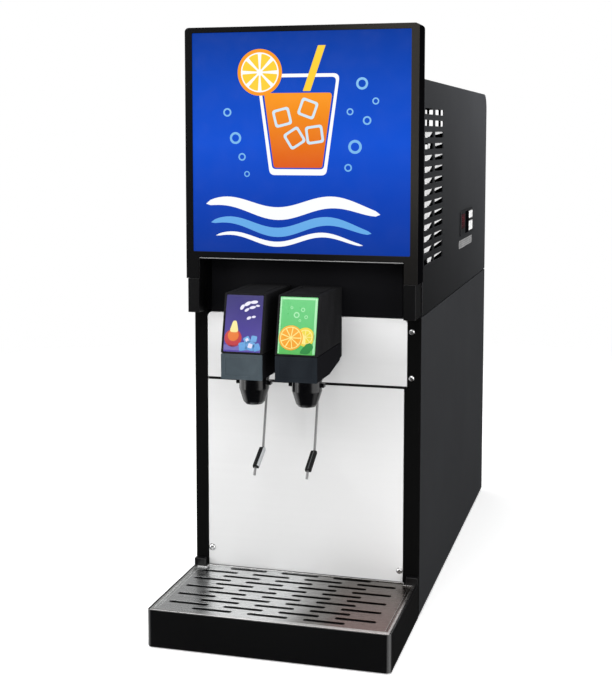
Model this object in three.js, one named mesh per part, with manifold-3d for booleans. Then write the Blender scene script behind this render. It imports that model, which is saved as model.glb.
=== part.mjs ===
// Two-valve counter-top post-mix soda dispenser with an illuminated header, as an assembly.
// Millimetres, +Z up, +X to the operator's right, the drip tray towards -Y.
// Inside the machine group Y = 0 is the front plane of the two columns; the group then moves the
// whole machine so that the origin is at the bottom centre of its bounding box.
import * as THREE from 'three';
import { mergeVertices } from 'three/addons/utils/BufferGeometryUtils.js';
import Module from 'manifold-3d';

const wasm = await Module();
wasm.setup();

// ---------------------------------------------------------------- driving dimensions
const WIDTH = 280; // over the two side panels
const DEPTH = 574; // columns to rear panel
const SIDE_TOP = 361.2; // top edge of the side panels
const HOOD_BOTTOM = 362; // seam between side panels and hood
const HOOD_TOP = 638;
const HOOD_FRONT = 8.5;
const HOOD_CORNER = 20; // radius of the hood's upper rear edge
const SIGN_TOP = 699;
const SIGN_FRONT = -28;
const SIGN_BACK = 8;
const SIGN_BOTTOM = 403;
const LIP = 428.3; // underside of the light box above the valve bay
const TRAY_OUT = 164; // drip tray, forward of the columns
const TRAY_TOP = 44.2;
const SHEET = 1.5; // folded sheet steel
const GAP = 0.3; // clearance between neighbouring pieces
const FOOT = 3; // rubber foot height
const COLUMN = 16; // width of the folded column faces
const SPLASH_SEAM = 278;
const SPLASH_SEAM_GAP = 3.2;
const SPLASH_TOP = 359.5;
const VALVE_PITCH = 63;
const VALVE_MIDDLE = -10; // the valve pair sits a little left of the centre line
const VALVE_WIDTH = 49;
const VALVE_FRONT = -118.2;
const VALVE_BOTTOM = 301.3;
const VALVE_SPLIT = 330.5; // cover above, body block below
const VALVE_TOP = 396.5;
const VALVE_BACK = -12.5; // front face of the mounting block
const CARD_LEAN = 16.2; // how far the cover's front leans back over its height
const NOZZLE_Y = -71;
const LEVER_Y = -22;
const LEVER_Z = 318;
const DECK = 352; // underside of the equipment deck
const OVER = 1; // how far a cutting tool runs past the face it cuts
const KEY_PROUD = 142.6; // outermost face of the controller keys

const HALF = WIDTH / 2;
const INNER = HALF - SHEET;
const COLUMN_EDGE = HALF - COLUMN;
const FLOOR = FOOT + GAP;
const DECK_TOP = DECK + SHEET;

// ---------------------------------------------------------------- solid helpers
function solidOf(geometry) {
  const plain = geometry.clone();
  plain.deleteAttribute('normal');
  plain.deleteAttribute('uv');
  const merged = mergeVertices(plain);
  const index = merged.index.array;
  const triangles = [];
  for (let i = 0; i < index.length; i += 3) {
    const [a, b, c] = [index[i], index[i + 1], index[i + 2]];
    if (a !== b && b !== c && c !== a) triangles.push(a, b, c);
  }
  const vertProperties = new Float32Array(merged.attributes.position.array);
  const triVerts = new Uint32Array(triangles);
  return new wasm.Manifold(new wasm.Mesh({ numProp: 3, vertProperties, triVerts }));
}

function geometryOf(solid) {
  const mesh = solid.getMesh();
  const geometry = new THREE.BufferGeometry();
  geometry.setAttribute('position', new THREE.BufferAttribute(mesh.vertProperties, 3));
  geometry.setIndex(new THREE.BufferAttribute(mesh.triVerts, 1));
  geometry.computeVertexNormals();
  return geometry;
}

function join(...solids) {
  return solids.reduce((whole, next) => whole.add(next));
}

function cut(solid, ...tools) {
  return tools.reduce((rest, tool) => rest.subtract(tool), solid);
}

function box(x0, x1, y0, y1, z0, z1) {
  const geometry = new THREE.BoxGeometry(x1 - x0, y1 - y0, z1 - z0);
  geometry.translate((x0 + x1) / 2, (y0 + y1) / 2, (z0 + z1) / 2);
  return solidOf(geometry);
}

function polygon(points) {
  return new THREE.Shape(points.map(([u, v]) => new THREE.Vector2(u, v)));
}

function roundedRectangle(u0, u1, v0, v1, radii) {
  // radii: lower left, lower right, upper right, upper left
  const [a, b, c, d] = radii;
  const shape = new THREE.Shape();
  shape.moveTo(u0 + a, v0);
  shape.lineTo(u1 - b, v0);
  if (b) shape.absarc(u1 - b, v0 + b, b, -Math.PI / 2, 0, false);
  shape.lineTo(u1, v1 - c);
  if (c) shape.absarc(u1 - c, v1 - c, c, 0, Math.PI / 2, false);
  shape.lineTo(u0 + d, v1);
  if (d) shape.absarc(u0 + d, v1 - d, d, Math.PI / 2, Math.PI, false);
  shape.lineTo(u0, v0 + a);
  if (a) shape.absarc(u0 + a, v0 + a, a, Math.PI, 1.5 * Math.PI, false);
  return shape;
}

function extruded(shape, depth, curveSegments = 5) {
  return new THREE.ExtrudeGeometry(shape, { depth, bevelEnabled: false, curveSegments });
}

function alongX(shape, x0, x1) {
  // the shape lies in the (Y, Z) plane
  const turn = new THREE.Matrix4().makeBasis(
    new THREE.Vector3(0, 1, 0),
    new THREE.Vector3(0, 0, 1),
    new THREE.Vector3(1, 0, 0),
  );
  return solidOf(extruded(shape, x1 - x0).applyMatrix4(turn).translate(x0, 0, 0));
}

function alongY(shape, y0, y1) {
  // the shape lies in the (X, Z) plane
  return solidOf(extruded(shape, y1 - y0).rotateX(Math.PI / 2).translate(0, y1, 0));
}

function alongZ(shape, z0, z1) {
  // the shape lies in the (X, Y) plane
  return solidOf(extruded(shape, z1 - z0).translate(0, 0, z0));
}

function turned(profile, x, y, sides = 24) {
  // profile: [radius, z] pairs from the bottom of the axis round to its top
  const points = profile.map(([r, z]) => new THREE.Vector2(r, z));
  const geometry = new THREE.LatheGeometry(points, sides);
  return solidOf(geometry.rotateX(Math.PI / 2).translate(x, y, 0));
}

function bar(from, to, radius, sides = 20) {
  // round bar between two points
  const a = new THREE.Vector3(...from);
  const b = new THREE.Vector3(...to);
  const way = b.clone().sub(a);
  const geometry = new THREE.CylinderGeometry(radius, radius, way.length(), sides);
  const up = new THREE.Vector3(0, 1, 0);
  const turn = new THREE.Quaternion().setFromUnitVectors(up, way.clone().normalize());
  geometry.applyQuaternion(turn);
  const middle = a.add(b).multiplyScalar(0.5);
  return solidOf(geometry.translate(middle.x, middle.y, middle.z));
}

function bentRod(points, radius, sides = 10) {
  // straight stretches with a ball at each bend
  let rod = bar(points[0], points[1], radius, sides);
  for (let i = 1; i < points.length - 1; i += 1) {
    const knee = new THREE.SphereGeometry(radius * 1.01, sides, 6).translate(...points[i]);
    rod = join(rod, solidOf(knee), bar(points[i], points[i + 1], radius, sides));
  }
  return rod;
}

// ---------------------------------------------------------------- materials
const FINISHES = {
  blackSteel: { color: 0x1b1c1f, roughness: 0.42, metalness: 0.35 },
  greySteel: { color: 0x3a3c40, roughness: 0.5, metalness: 0.5 },
  stainless: { color: 0xd9dadb, roughness: 0.22, metalness: 0.95 },
  zinc: { color: 0xa9adb0, roughness: 0.45, metalness: 0.8 },
  copper: { color: 0xb46a3c, roughness: 0.35, metalness: 0.9 },
  blackPlastic: { color: 0x17181a, roughness: 0.35, metalness: 0 },
  greyPlastic: { color: 0x4e5256, roughness: 0.45, metalness: 0 },
  rubber: { color: 0x202020, roughness: 0.85, metalness: 0 },
  foam: { color: 0xe9e6dc, roughness: 0.9, metalness: 0 },
  signBlue: { color: 0x1048c8, roughness: 0.15, metalness: 0 },
  lightBoard: { color: 0xf2f3f0, roughness: 0.4, metalness: 0 },
  cardViolet: { color: 0x4a3a94, roughness: 0.25, metalness: 0 },
  cardGreen: { color: 0x3fae58, roughness: 0.25, metalness: 0 },
  display: { color: 0x2a0608, roughness: 0.1, metalness: 0 },
  whiteKey: { color: 0xeeeeee, roughness: 0.4, metalness: 0 },
};

const machine = new THREE.Group();

function piece(name, solid, finish, parent = machine) {
  const mesh = new THREE.Mesh(geometryOf(solid), new THREE.MeshStandardMaterial(FINISHES[finish]));
  mesh.name = name;
  parent.add(mesh);
  return mesh;
}

// ---------------------------------------------------------------- chassis
const PAN = { edge: 138, front: 2, back: DEPTH - 2.5, wall: 15 };
const RAIL = { left: [-90, 70], width: 20, length: 150, top: 5.6 }; // tongues that carry the tray

function basePan() {
  const { edge, front, back, wall } = PAN;
  const outer = box(-edge, edge, front, back, FLOOR, FLOOR + wall);
  const inner = box(
    -edge + SHEET, edge - SHEET,
    front + SHEET, back - SHEET,
    FLOOR + SHEET, FLOOR + wall + OVER,
  );
  const rails = RAIL.left.map(
    (x) => box(x, x + RAIL.width, -RAIL.length, front + OVER, FLOOR, RAIL.top),
  );
  return cut(join(outer, ...rails), inner);
}

const REAR_FLANGE = 14;
const RIGHT_COLUMN_EDGE = 120.6; // the right column is wider beside the lower splash panel

function sidePanel(side) {
  // a folded channel: column face, side, rear flange
  const outline = [
    [COLUMN_EDGE, 0], [HALF, 0], [HALF, DEPTH], [HALF - REAR_FLANGE, DEPTH],
    [HALF - REAR_FLANGE, DEPTH - SHEET], [INNER, DEPTH - SHEET], [INNER, SHEET], [COLUMN_EDGE, SHEET],
  ];
  const channel = alongZ(polygon(outline.map(([x, y]) => [side * x, y])), FLOOR, SIDE_TOP);
  if (side < 0) return channel;
  return join(channel, box(RIGHT_COLUMN_EDGE, INNER, 0, SHEET, FLOOR, SPLASH_SEAM));
}

const INLET = { x: 92, socketZ: 296, rockerZ: 320, halfWidth: 14, bottom: 284, top: 334 };
const HOSE_BAY = { halfWidth: 60, bottom: 60, top: 120 };

function rearPanel() {
  const edge = HALF - REAR_FLANGE - 0.5;
  const front = DEPTH - SHEET;
  const plate = box(-edge, edge, front, DEPTH, FLOOR + SHEET + GAP, SIDE_TOP);
  const hoseBay = box(
    -HOSE_BAY.halfWidth, HOSE_BAY.halfWidth,
    front - OVER, DEPTH + OVER,
    HOSE_BAY.bottom, HOSE_BAY.top,
  );
  const inletHole = box(
    INLET.x - INLET.halfWidth - GAP, INLET.x + INLET.halfWidth + GAP,
    front - OVER, DEPTH + OVER,
    INLET.bottom - GAP, INLET.top + GAP,
  );
  return cut(plate, hoseBay, inletHole);
}

const AGITATOR = { x: 0, y: 130, shaft: 4, hole: 8 };
const DECK_EDGE = 137.5;

function deckPlate() {
  const { x, y, hole } = AGITATOR;
  const plate = box(-DECK_EDGE, DECK_EDGE, 3, DEPTH - 3, DECK, DECK_TOP);
  return cut(plate, bar([x, y, DECK - OVER], [x, y, DECK_TOP + OVER], hole));
}

const FOOT_RADIUS = { bottom: 11, top: 12.5 };

function foot() {
  return turned([[0, 0], [FOOT_RADIUS.bottom, 0], [FOOT_RADIUS.top, FOOT], [0, FOOT]], 0, 0, 20);
}

piece('base_pan', basePan(), 'zinc');
piece('side_panel_left', sidePanel(-1), 'blackSteel');
piece('side_panel_right', sidePanel(1), 'blackSteel');
piece('rear_panel', rearPanel(), 'blackSteel');
piece('deck_plate', deckPlate(), 'zinc');
const FOOT_X = 112;
const FOOT_INSET = 40; // from the column fronts and from the rear panel
const FOOT_PLACES = {
  rubber_foot_front_left: [-FOOT_X, FOOT_INSET],
  rubber_foot_front_right: [FOOT_X, FOOT_INSET],
  rubber_foot_rear_left: [-FOOT_X, DEPTH - FOOT_INSET],
  rubber_foot_rear_right: [FOOT_X, DEPTH - FOOT_INSET],
};
for (const [name, [x, y]] of Object.entries(FOOT_PLACES)) {
  piece(name, foot(), 'rubber').position.set(x, y, 0);
}

// ---------------------------------------------------------------- hood
const VENT = { rows: 14, topZ: 601.5, pitch: 13.65, height: 7, columns: [[14, 75], [85, 149]] };
const REAR_OPENING = { halfWidth: 118, bottom: 380, top: 616 };
const REAR_SLOT = { rows: 11, firstZ: 387.1, pitch: 18.45, height: 12.5 };
const REAR_SLOT_COLUMNS = [[-114, -57.5], [-46.5, 46.5], [57.5, 114]];
const REAR_TOP_SLOT = { count: 11, pitch: 18.7, width: 15, bottom: 586, top: 614.7 };
const CONTROLLER = { y0: 296, y1: 412, z0: 434, z1: 469, flange: 4 };

function hoodShape(inset) {
  const radius = HOOD_CORNER - inset;
  const front = inset ? HOOD_FRONT - OVER : HOOD_FRONT;
  const bottom = inset ? HOOD_BOTTOM - OVER : HOOD_BOTTOM;
  const back = DEPTH - inset;
  const top = HOOD_TOP - inset;
  const shape = new THREE.Shape();
  shape.moveTo(front, bottom);
  shape.lineTo(back, bottom);
  shape.lineTo(back, top - radius);
  shape.absarc(back - radius, top - radius, radius, 0, Math.PI / 2, false);
  shape.lineTo(front, top);
  return shape;
}

function hoodCover() {
  const shell = cut(alongX(hoodShape(0), -HALF, HALF), alongX(hoodShape(SHEET), -INNER, INNER));
  const tools = [];
  for (let row = 0; row < VENT.rows; row += 1) {
    const z = VENT.topZ - row * VENT.pitch;
    for (const [y0, y1] of VENT.columns) {
      tools.push(box(-HALF - OVER, HALF + OVER, y0, y1, z - VENT.height / 2, z + VENT.height / 2));
    }
  }
  const { halfWidth, bottom, top } = REAR_OPENING;
  tools.push(box(-halfWidth, halfWidth, DEPTH - SHEET - OVER, DEPTH + OVER, bottom, top));
  tools.push(box(
    INNER - OVER, HALF + OVER,
    CONTROLLER.y0 + CONTROLLER.flange, CONTROLLER.y1 - CONTROLLER.flange,
    CONTROLLER.z0 + 3, CONTROLLER.z1 - 3,
  ));
  return cut(shell, ...tools);
}

function rearGrille() {
  const { halfWidth, bottom, top } = REAR_OPENING;
  const lap = 6; // how far the plate reaches past the opening it closes
  const back = DEPTH - SHEET - GAP;
  const front = back - 1.8;
  const plate = box(-halfWidth - lap, halfWidth + lap, front, back, bottom - lap, top + 1.2);
  const tools = [];
  for (let row = 0; row < REAR_SLOT.rows; row += 1) {
    const z = REAR_SLOT.firstZ + row * REAR_SLOT.pitch;
    const half = REAR_SLOT.height / 2;
    for (const [x0, x1] of REAR_SLOT_COLUMNS) {
      tools.push(box(x0, x1, front - OVER, back + OVER, z - half, z + half));
    }
  }
  for (let slot = 0; slot < REAR_TOP_SLOT.count; slot += 1) {
    const x = (slot - (REAR_TOP_SLOT.count - 1) / 2) * REAR_TOP_SLOT.pitch;
    const half = REAR_TOP_SLOT.width / 2;
    const { bottom: low, top: high } = REAR_TOP_SLOT;
    tools.push(box(x - half, x + half, front - OVER, back + OVER, low, high));
  }
  return cut(plate, ...tools);
}

piece('hood_cover', hoodCover(), 'blackSteel');
piece('rear_grille', rearGrille(), 'blackSteel');

// ---------------------------------------------------------------- illuminated header
const WINDOW = { halfWidth: 131, bottom: 435.6, top: 692.5 };
const SIGN_CORNER = 5; // radius of the header's upper corners
const BEZEL_BACK = SIGN_FRONT + 1.7;
const BAY_HALF = COLUMN_EDGE; // half width of the bay that the valves stand in

function signBezel() {
  const corners = [0, 0, SIGN_CORNER, SIGN_CORNER];
  const outline = roundedRectangle(-HALF, HALF, SIGN_BOTTOM, SIGN_TOP, corners);
  const [tool0, tool1] = [SIGN_FRONT - OVER, BEZEL_BACK + OVER];
  const window = box(
    -WINDOW.halfWidth, WINDOW.halfWidth,
    tool0, tool1,
    WINDOW.bottom, WINDOW.top,
  );
  const bay = box(-BAY_HALF, BAY_HALF, tool0, tool1, SIGN_BOTTOM - OVER, LIP);
  return cut(alongY(outline, SIGN_FRONT, BEZEL_BACK), window, bay);
}

function signHousing() {
  const front = BEZEL_BACK + GAP;
  const corners = [0, 0, SIGN_CORNER, SIGN_CORNER];
  const outline = roundedRectangle(-HALF, HALF, LIP, SIGN_TOP, corners);
  const shell = cut(
    alongY(outline, front, SIGN_BACK),
    box(-INNER, INNER, front - OVER, SIGN_BACK - SHEET, LIP + SHEET, SIGN_TOP - SHEET),
  );
  const skirts = [-HALF, INNER].map(
    (x) => box(x, x + SHEET, front, SIGN_BACK, SIGN_BOTTOM, LIP + OVER),
  );
  return join(shell, ...skirts);
}

function signPanel() {
  const lap = 3; // the panel reaches past the window on every side
  const half = WINDOW.halfWidth + lap;
  const front = BEZEL_BACK + GAP;
  return box(-half, half, front, front + 3, WINDOW.bottom - lap, WINDOW.top + lap);
}

const LIGHT_BOARD = { halfWidth: 128, front: 2.5, back: 4.5, bottom: 440, top: 688 };
const LIGHT_STRIP = { halfWidth: 120, front: 0.5, firstZ: 464, pitch: 50, count: 5, halfHeight: 4 };

function signLightBoard() {
  const { halfWidth, front, back, bottom, top } = LIGHT_BOARD;
  let board = box(-halfWidth, halfWidth, front, back, bottom, top);
  for (let i = 0; i < LIGHT_STRIP.count; i += 1) {
    const z = LIGHT_STRIP.firstZ + i * LIGHT_STRIP.pitch;
    board = join(board, box(
      -LIGHT_STRIP.halfWidth, LIGHT_STRIP.halfWidth,
      LIGHT_STRIP.front, back - OVER,
      z - LIGHT_STRIP.halfHeight, z + LIGHT_STRIP.halfHeight,
    ));
  }
  return board;
}

const APRON = { edge: 138, back: -0.6 };

function valveApron() {
  // cheeks either side of the valve bay, joined by the bay's ceiling
  const step = SIGN_BOTTOM - GAP;
  const inFront = SIGN_FRONT + SHEET;
  const behindBezel = BEZEL_BACK + GAP;
  const ceilingTop = LIP - GAP;
  const parts = [];
  for (const side of [-1, 1]) {
    const wall = (a, b, y0, y1, z0, z1) => box(
      Math.min(side * a, side * b), Math.max(side * a, side * b),
      y0, y1, z0, z1,
    );
    const innerEdge = BAY_HALF + SHEET;
    parts.push(wall(BAY_HALF, APRON.edge, SIGN_FRONT, inFront, HOOD_BOTTOM, step));
    parts.push(wall(APRON.edge - SHEET, APRON.edge, SIGN_FRONT, SIGN_BACK, HOOD_BOTTOM, step));
    parts.push(wall(BAY_HALF, innerEdge, SIGN_FRONT, APRON.back, HOOD_BOTTOM, step));
    parts.push(wall(BAY_HALF, innerEdge, behindBezel, APRON.back, step - OVER, ceilingTop));
  }
  const ceiling = box(
    -BAY_HALF - OVER, BAY_HALF + OVER,
    behindBezel, APRON.back,
    ceilingTop - SHEET, ceilingTop,
  );
  return join(...parts, ceiling);
}

piece('sign_housing', signHousing(), 'blackSteel');
piece('sign_bezel', signBezel(), 'blackSteel');
piece('sign_panel', signPanel(), 'signBlue');
piece('sign_light_board', signLightBoard(), 'lightBoard');
piece('valve_apron', valveApron(), 'blackSteel');

// ---------------------------------------------------------------- front panels
const VALVE_PLATE = { halfWidth: 118, fold: 7.5 };

function valvePlate() {
  // folded back at both sides
  const { halfWidth, fold } = VALVE_PLATE;
  const [bottom, top] = [SPLASH_TOP + OVER, LIP - 2];
  const returns = [-halfWidth, halfWidth - SHEET].map(
    (x) => box(x, x + SHEET, 0, fold, bottom, top),
  );
  return join(box(-halfWidth, halfWidth, 0, SHEET, bottom, top), ...returns);
}

const SPLASH = { thickness: 1.2, edge: COLUMN_EDGE - 0.5, bottom: 8, corner: 6 };

function splashPanel(right, bottom, top, corner) {
  const outline = roundedRectangle(-SPLASH.edge, right, bottom, top, [0, 0, corner, corner]);
  return alongY(outline, 0, SPLASH.thickness);
}

piece('valve_plate', valvePlate(), 'greySteel');
const SEAM_HALF = SPLASH_SEAM_GAP / 2;
const LOWER_SPLASH_RIGHT = RIGHT_COLUMN_EDGE - 0.5;
piece(
  'splash_panel_upper',
  splashPanel(SPLASH.edge, SPLASH_SEAM + SEAM_HALF, SPLASH_TOP, SPLASH.corner),
  'stainless',
);
piece(
  'splash_panel_lower',
  splashPanel(LOWER_SPLASH_RIGHT, SPLASH.bottom, SPLASH_SEAM - SEAM_HALF, 0),
  'stainless',
);

// ---------------------------------------------------------------- drip tray
const TRAY = { edge: 139.5, back: -0.6, bottom: 1.5, floorTop: 7.5, corner: 5, ledge: 4 };
const EAR = { width: 13.5, depth: 8.4, top: 52.5 }; // the tray's two locating ears
const GRILLE = { z: 41.5, sheet: 1.5, halfWidth: 137.2, front: -161.7, back: -3, rim: 3 };
const SLOT = { length: 46.5, width: 5.5, pitchX: 65, pitchY: 13.5, rows: 11, firstY: -8, middleX: -4.5 };

function dripTray() {
  const { edge, back, bottom, floorTop, corner } = TRAY;
  const outline = roundedRectangle(-edge, edge, -TRAY_OUT, back, [corner, corner, 0, 0]);
  const inside = edge - SHEET;
  const insideFront = -TRAY_OUT + SHEET;
  const insideBack = back - SHEET;
  const body = cut(
    alongZ(outline, bottom, TRAY_TOP),
    box(-inside, inside, insideFront, insideBack, floorTop, TRAY_TOP + OVER),
    box(-inside, inside, insideFront, OVER, 0, floorTop - SHEET),
  );
  const ledgeTop = GRILLE.z - GAP;
  const root = 0.5; // how far the ledge is let into the walls
  const ledge = cut(
    box(
      -inside - root, inside + root,
      insideFront - root, insideBack + root,
      ledgeTop - 1.3, ledgeTop,
    ),
    box(
      -inside + TRAY.ledge, inside - TRAY.ledge,
      insideFront + TRAY.ledge, insideBack - TRAY.ledge,
      0, TRAY_TOP,
    ),
  );
  const ears = [-edge, edge - EAR.width].map(
    (x) => box(x, x + EAR.width, back - EAR.depth, back, ledgeTop - OVER, EAR.top),
  );
  return join(body, ledge, ...ears);
}

function slotPlaces() {
  const places = [];
  for (let row = 0; row < SLOT.rows; row += 1) {
    const count = row % 2 ? 4 : 3;
    for (let i = 0; i < count; i += 1) {
      const x = SLOT.middleX + (i - (count - 1) / 2) * SLOT.pitchX;
      places.push([x, SLOT.firstY - row * SLOT.pitchY]);
    }
  }
  return places;
}

function dripGrille() {
  const { z, sheet, halfWidth, front, back, rim } = GRILLE;
  const outer = box(-halfWidth, halfWidth, front, back, z, TRAY_TOP);
  const dish = box(
    -halfWidth + rim, halfWidth - rim,
    front + rim, back - rim / 2,
    z + sheet, TRAY_TOP + OVER,
  );
  const clearance = 0.5; // round each ear of the tray
  const notchEdge = TRAY.edge - EAR.width - clearance;
  const notches = [-HALF, notchEdge].map((x) => box(
    x, x + HALF - notchEdge,
    TRAY.back - EAR.depth - clearance, OVER,
    z - OVER, TRAY_TOP + OVER,
  ));
  const slots = slotPlaces().map(([x, y]) => box(
    x - SLOT.length / 2, x + SLOT.length / 2,
    y - SLOT.width / 2, y + SLOT.width / 2,
    z - OVER, TRAY_TOP + OVER,
  ));
  return cut(outer, dish, ...notches, ...slots);
}

piece('drip_tray', dripTray(), 'blackSteel');
piece('drip_grille', dripGrille(), 'stainless');

// ---------------------------------------------------------------- valves
const LEAN = Math.atan2(CARD_LEAN, VALVE_TOP - VALVE_SPLIT);
const CARD = { halfWidth: 21.5, bottom: 2.2, top: 66, thickness: 1 };
const LEVER = { pin: 1.5, hole: 1.8, eye: 5, rod: 1.5, slotHalf: 6 };
const NOZZLE = { tip: 265.5, socket: 15.3, rim: 15, collar: 17.4, lugZ: [288, 293], lugX: 18.5 };

function valveBody() {
  const half = VALVE_WIDTH / 2 - 0.2;
  const top = VALVE_SPLIT - GAP;
  const below = VALVE_BOTTOM - OVER;
  const rise = 8; // the underside climbs towards the wall behind the nozzle
  const side = polygon([
    [VALVE_FRONT, VALVE_BOTTOM], [NOZZLE_Y + 11, VALVE_BOTTOM], [VALVE_BACK, VALVE_BOTTOM + rise],
    [VALVE_BACK, top], [VALVE_FRONT, top],
  ]);
  const socket = bar([0, NOZZLE_Y, below], [0, NOZZLE_Y, LEVER_Z], NOZZLE.socket, 24);
  const leverSlot = box(
    -LEVER.slotHalf, LEVER.slotHalf,
    LEVER_Y - 16, LEVER_Y + 8,
    below, VALVE_SPLIT + OVER,
  );
  // the pin's hole is blind at one end, so the pin cannot drop out
  const pinHole = bar([-half - OVER, LEVER_Y, LEVER_Z], [20.3, LEVER_Y, LEVER_Z], LEVER.hole, 12);
  return cut(alongX(side, -half, half), socket, leverSlot, pinHole);
}

function valveCover() {
  const half = VALVE_WIDTH / 2;
  const wall = 1.8;
  const frontWall = 2.5;
  const frontTop = VALVE_FRONT + CARD_LEAN;
  const outer = polygon([
    [VALVE_FRONT, VALVE_SPLIT], [VALVE_BACK, VALVE_SPLIT],
    [VALVE_BACK, VALVE_TOP], [frontTop, VALVE_TOP],
  ]);
  const inner = polygon([
    [VALVE_FRONT + frontWall, VALVE_SPLIT - OVER], [VALVE_BACK + OVER, VALVE_SPLIT - OVER],
    [VALVE_BACK + OVER, VALVE_TOP - wall], [frontTop + frontWall, VALVE_TOP - wall],
  ]);
  const pocketWidth = 2 * (CARD.halfWidth + GAP);
  const pocketHeight = 80; // runs out through the top, so the card slides in from above
  const pocketDepth = 3;
  const pocket = new THREE.BoxGeometry(pocketWidth, pocketHeight, pocketDepth);
  pocket.translate(
    0,
    pocketHeight / 2 + CARD.bottom - GAP,
    pocketDepth / 2 - CARD.thickness - GAP,
  );
  pocket.rotateX(Math.PI / 2 - LEAN).translate(0, VALVE_FRONT, VALVE_SPLIT);
  return cut(
    alongX(outer, -half, half),
    alongX(inner, -half + wall, half - wall),
    solidOf(pocket),
  );
}

function labelCard() {
  return box(-CARD.halfWidth, CARD.halfWidth, CARD.bottom, CARD.top, -CARD.thickness, 0);
}

function mountBlock() {
  const [front, back] = [VALVE_BACK + GAP, -GAP];
  const side = polygon([
    [front, VALVE_BOTTOM + 9], [back, VALVE_BOTTOM + 11],
    [back, VALVE_TOP - OVER], [front, VALVE_TOP - OVER],
  ]);
  return alongX(side, -VALVE_WIDTH / 2 + OVER, VALVE_WIDTH / 2 - OVER);
}

function nozzle() {
  // a funnel with a spigot that turns in the body's socket, and two bayonet lugs
  const { tip, rim, collar, lugZ, lugX } = NOZZLE;
  const top = LEVER_Z - 0.5;
  const neck = VALVE_BOTTOM - GAP;
  const profile = [
    [rim, top], [13, top], [13, tip + 25.5], [8.5, tip + 8.5], [8.5, tip],
    [10.8, tip], [12.3, tip + 3], [collar, tip + 22], [collar, neck], [rim, neck], [rim, top],
  ];
  const shell = turned(profile, 0, NOZZLE_Y);
  const lug = (x) => box(x - 2.5, x + 2.5, NOZZLE_Y - 4, NOZZLE_Y + 4, ...lugZ);
  return join(shell, lug(-lugX), lug(lugX));
}

function diffuser() {
  const { tip } = NOZZLE;
  const top = LEVER_Z - 0.6;
  const profile = [
    [0, tip + 18.5], [3, tip + 18.5], [9.5, tip + 23.5], [9.5, tip + 27.5],
    [6.5, tip + 30.5], [6.5, top], [0, top],
  ];
  return turned(profile, 0, NOZZLE_Y, 16);
}

const LEVER_BENDS = [[-22, 314.3], [-23.5, 264], [-37.5, 205.5], [-68.5, 188], [-72, 180.5]];

function leverArm() {
  const half = LEVER.slotHalf - OVER;
  const eye = cut(
    bar([-half, LEVER_Y, LEVER_Z], [half, LEVER_Y, LEVER_Z], LEVER.eye, 20),
    bar([-half - OVER, LEVER_Y, LEVER_Z], [half + OVER, LEVER_Y, LEVER_Z], LEVER.hole, 12),
  );
  return join(eye, bentRod(LEVER_BENDS.map(([y, z]) => [0, y, z]), LEVER.rod));
}

const PAD = { width: 7.4, thickness: 4.6, ends: 3.4 }; // ends: bare rod left at the two bends

function leverPad() {
  // flat sleeve over the forward-bent end of the lever
  const [y0, z0] = LEVER_BENDS[2];
  const [y1, z1] = LEVER_BENDS[3];
  const length = Math.hypot(y1 - y0, z1 - z0) - PAD.ends;
  const sleeve = new THREE.BoxGeometry(PAD.width, length, PAD.thickness);
  sleeve.rotateX(Math.atan2(z0 - z1, y0 - y1)).translate(0, (y0 + y1) / 2, (z0 + z1) / 2);
  return cut(solidOf(sleeve), bar([0, y0, z0], [0, y1, z1], LEVER.hole, 12));
}

function leverPin() {
  return bar([-20, LEVER_Y, LEVER_Z], [20, LEVER_Y, LEVER_Z], LEVER.pin, 12);
}

const SOLENOID = { x: 10, y: -42, radius: 9, top: 378 };
const FLOW_CONTROL = { x: 10, y: -82, radius: 6, top: 366 };

function solenoids() {
  // two coils and two flow controls on one base block
  let block = box(-19, 19, -98, -16, VALVE_SPLIT, VALVE_SPLIT + 6);
  for (const { x, y, radius, top } of [SOLENOID, FLOW_CONTROL]) {
    for (const px of [-x, x]) {
      block = join(block, bar([px, y, VALVE_SPLIT + OVER], [px, y, top], radius, 16));
    }
  }
  return block;
}

const CARD_FINISH = { left: 'cardViolet', right: 'cardGreen' };
for (const [side, offset] of [['left', -VALVE_PITCH / 2], ['right', VALVE_PITCH / 2]]) {
  const valve = new THREE.Group();
  valve.position.x = VALVE_MIDDLE + offset;
  machine.add(valve);
  piece(`mount_block_${side}`, mountBlock(), 'blackPlastic', valve);
  piece(`valve_body_${side}`, valveBody(), 'blackPlastic', valve);
  piece(`valve_cover_${side}`, valveCover(), 'blackPlastic', valve);
  piece(`nozzle_${side}`, nozzle(), 'blackPlastic', valve);
  piece(`diffuser_${side}`, diffuser(), 'greyPlastic', valve);
  piece(`lever_arm_${side}`, leverArm(), 'stainless', valve);
  piece(`lever_pad_${side}`, leverPad(), 'rubber', valve);
  piece(`lever_pin_${side}`, leverPin(), 'stainless', valve);
  piece(`solenoids_${side}`, solenoids(), 'greyPlastic', valve);
  const front = new THREE.Group();
  front.position.set(0, VALVE_FRONT, VALVE_SPLIT);
  front.rotation.x = Math.PI / 2 - LEAN;
  valve.add(front);
  piece(`label_card_${side}`, labelCard(), CARD_FINISH[side], front);
}

// ---------------------------------------------------------------- temperature controller
const CONTROLLER_FACE = 142;
const CONTROLLER_REAR = 108;
const DISPLAY = { y0: 300, y1: 334, z0: 444, z1: 464, back: 141.2, front: 141.9 };
const KEY = { y0: 373, y1: 406, back: 137.6, travel: 1.6 };
const KEY_HEIGHTS = { key_up: [455, 465.5], key_down: [437.5, 451] };

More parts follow.
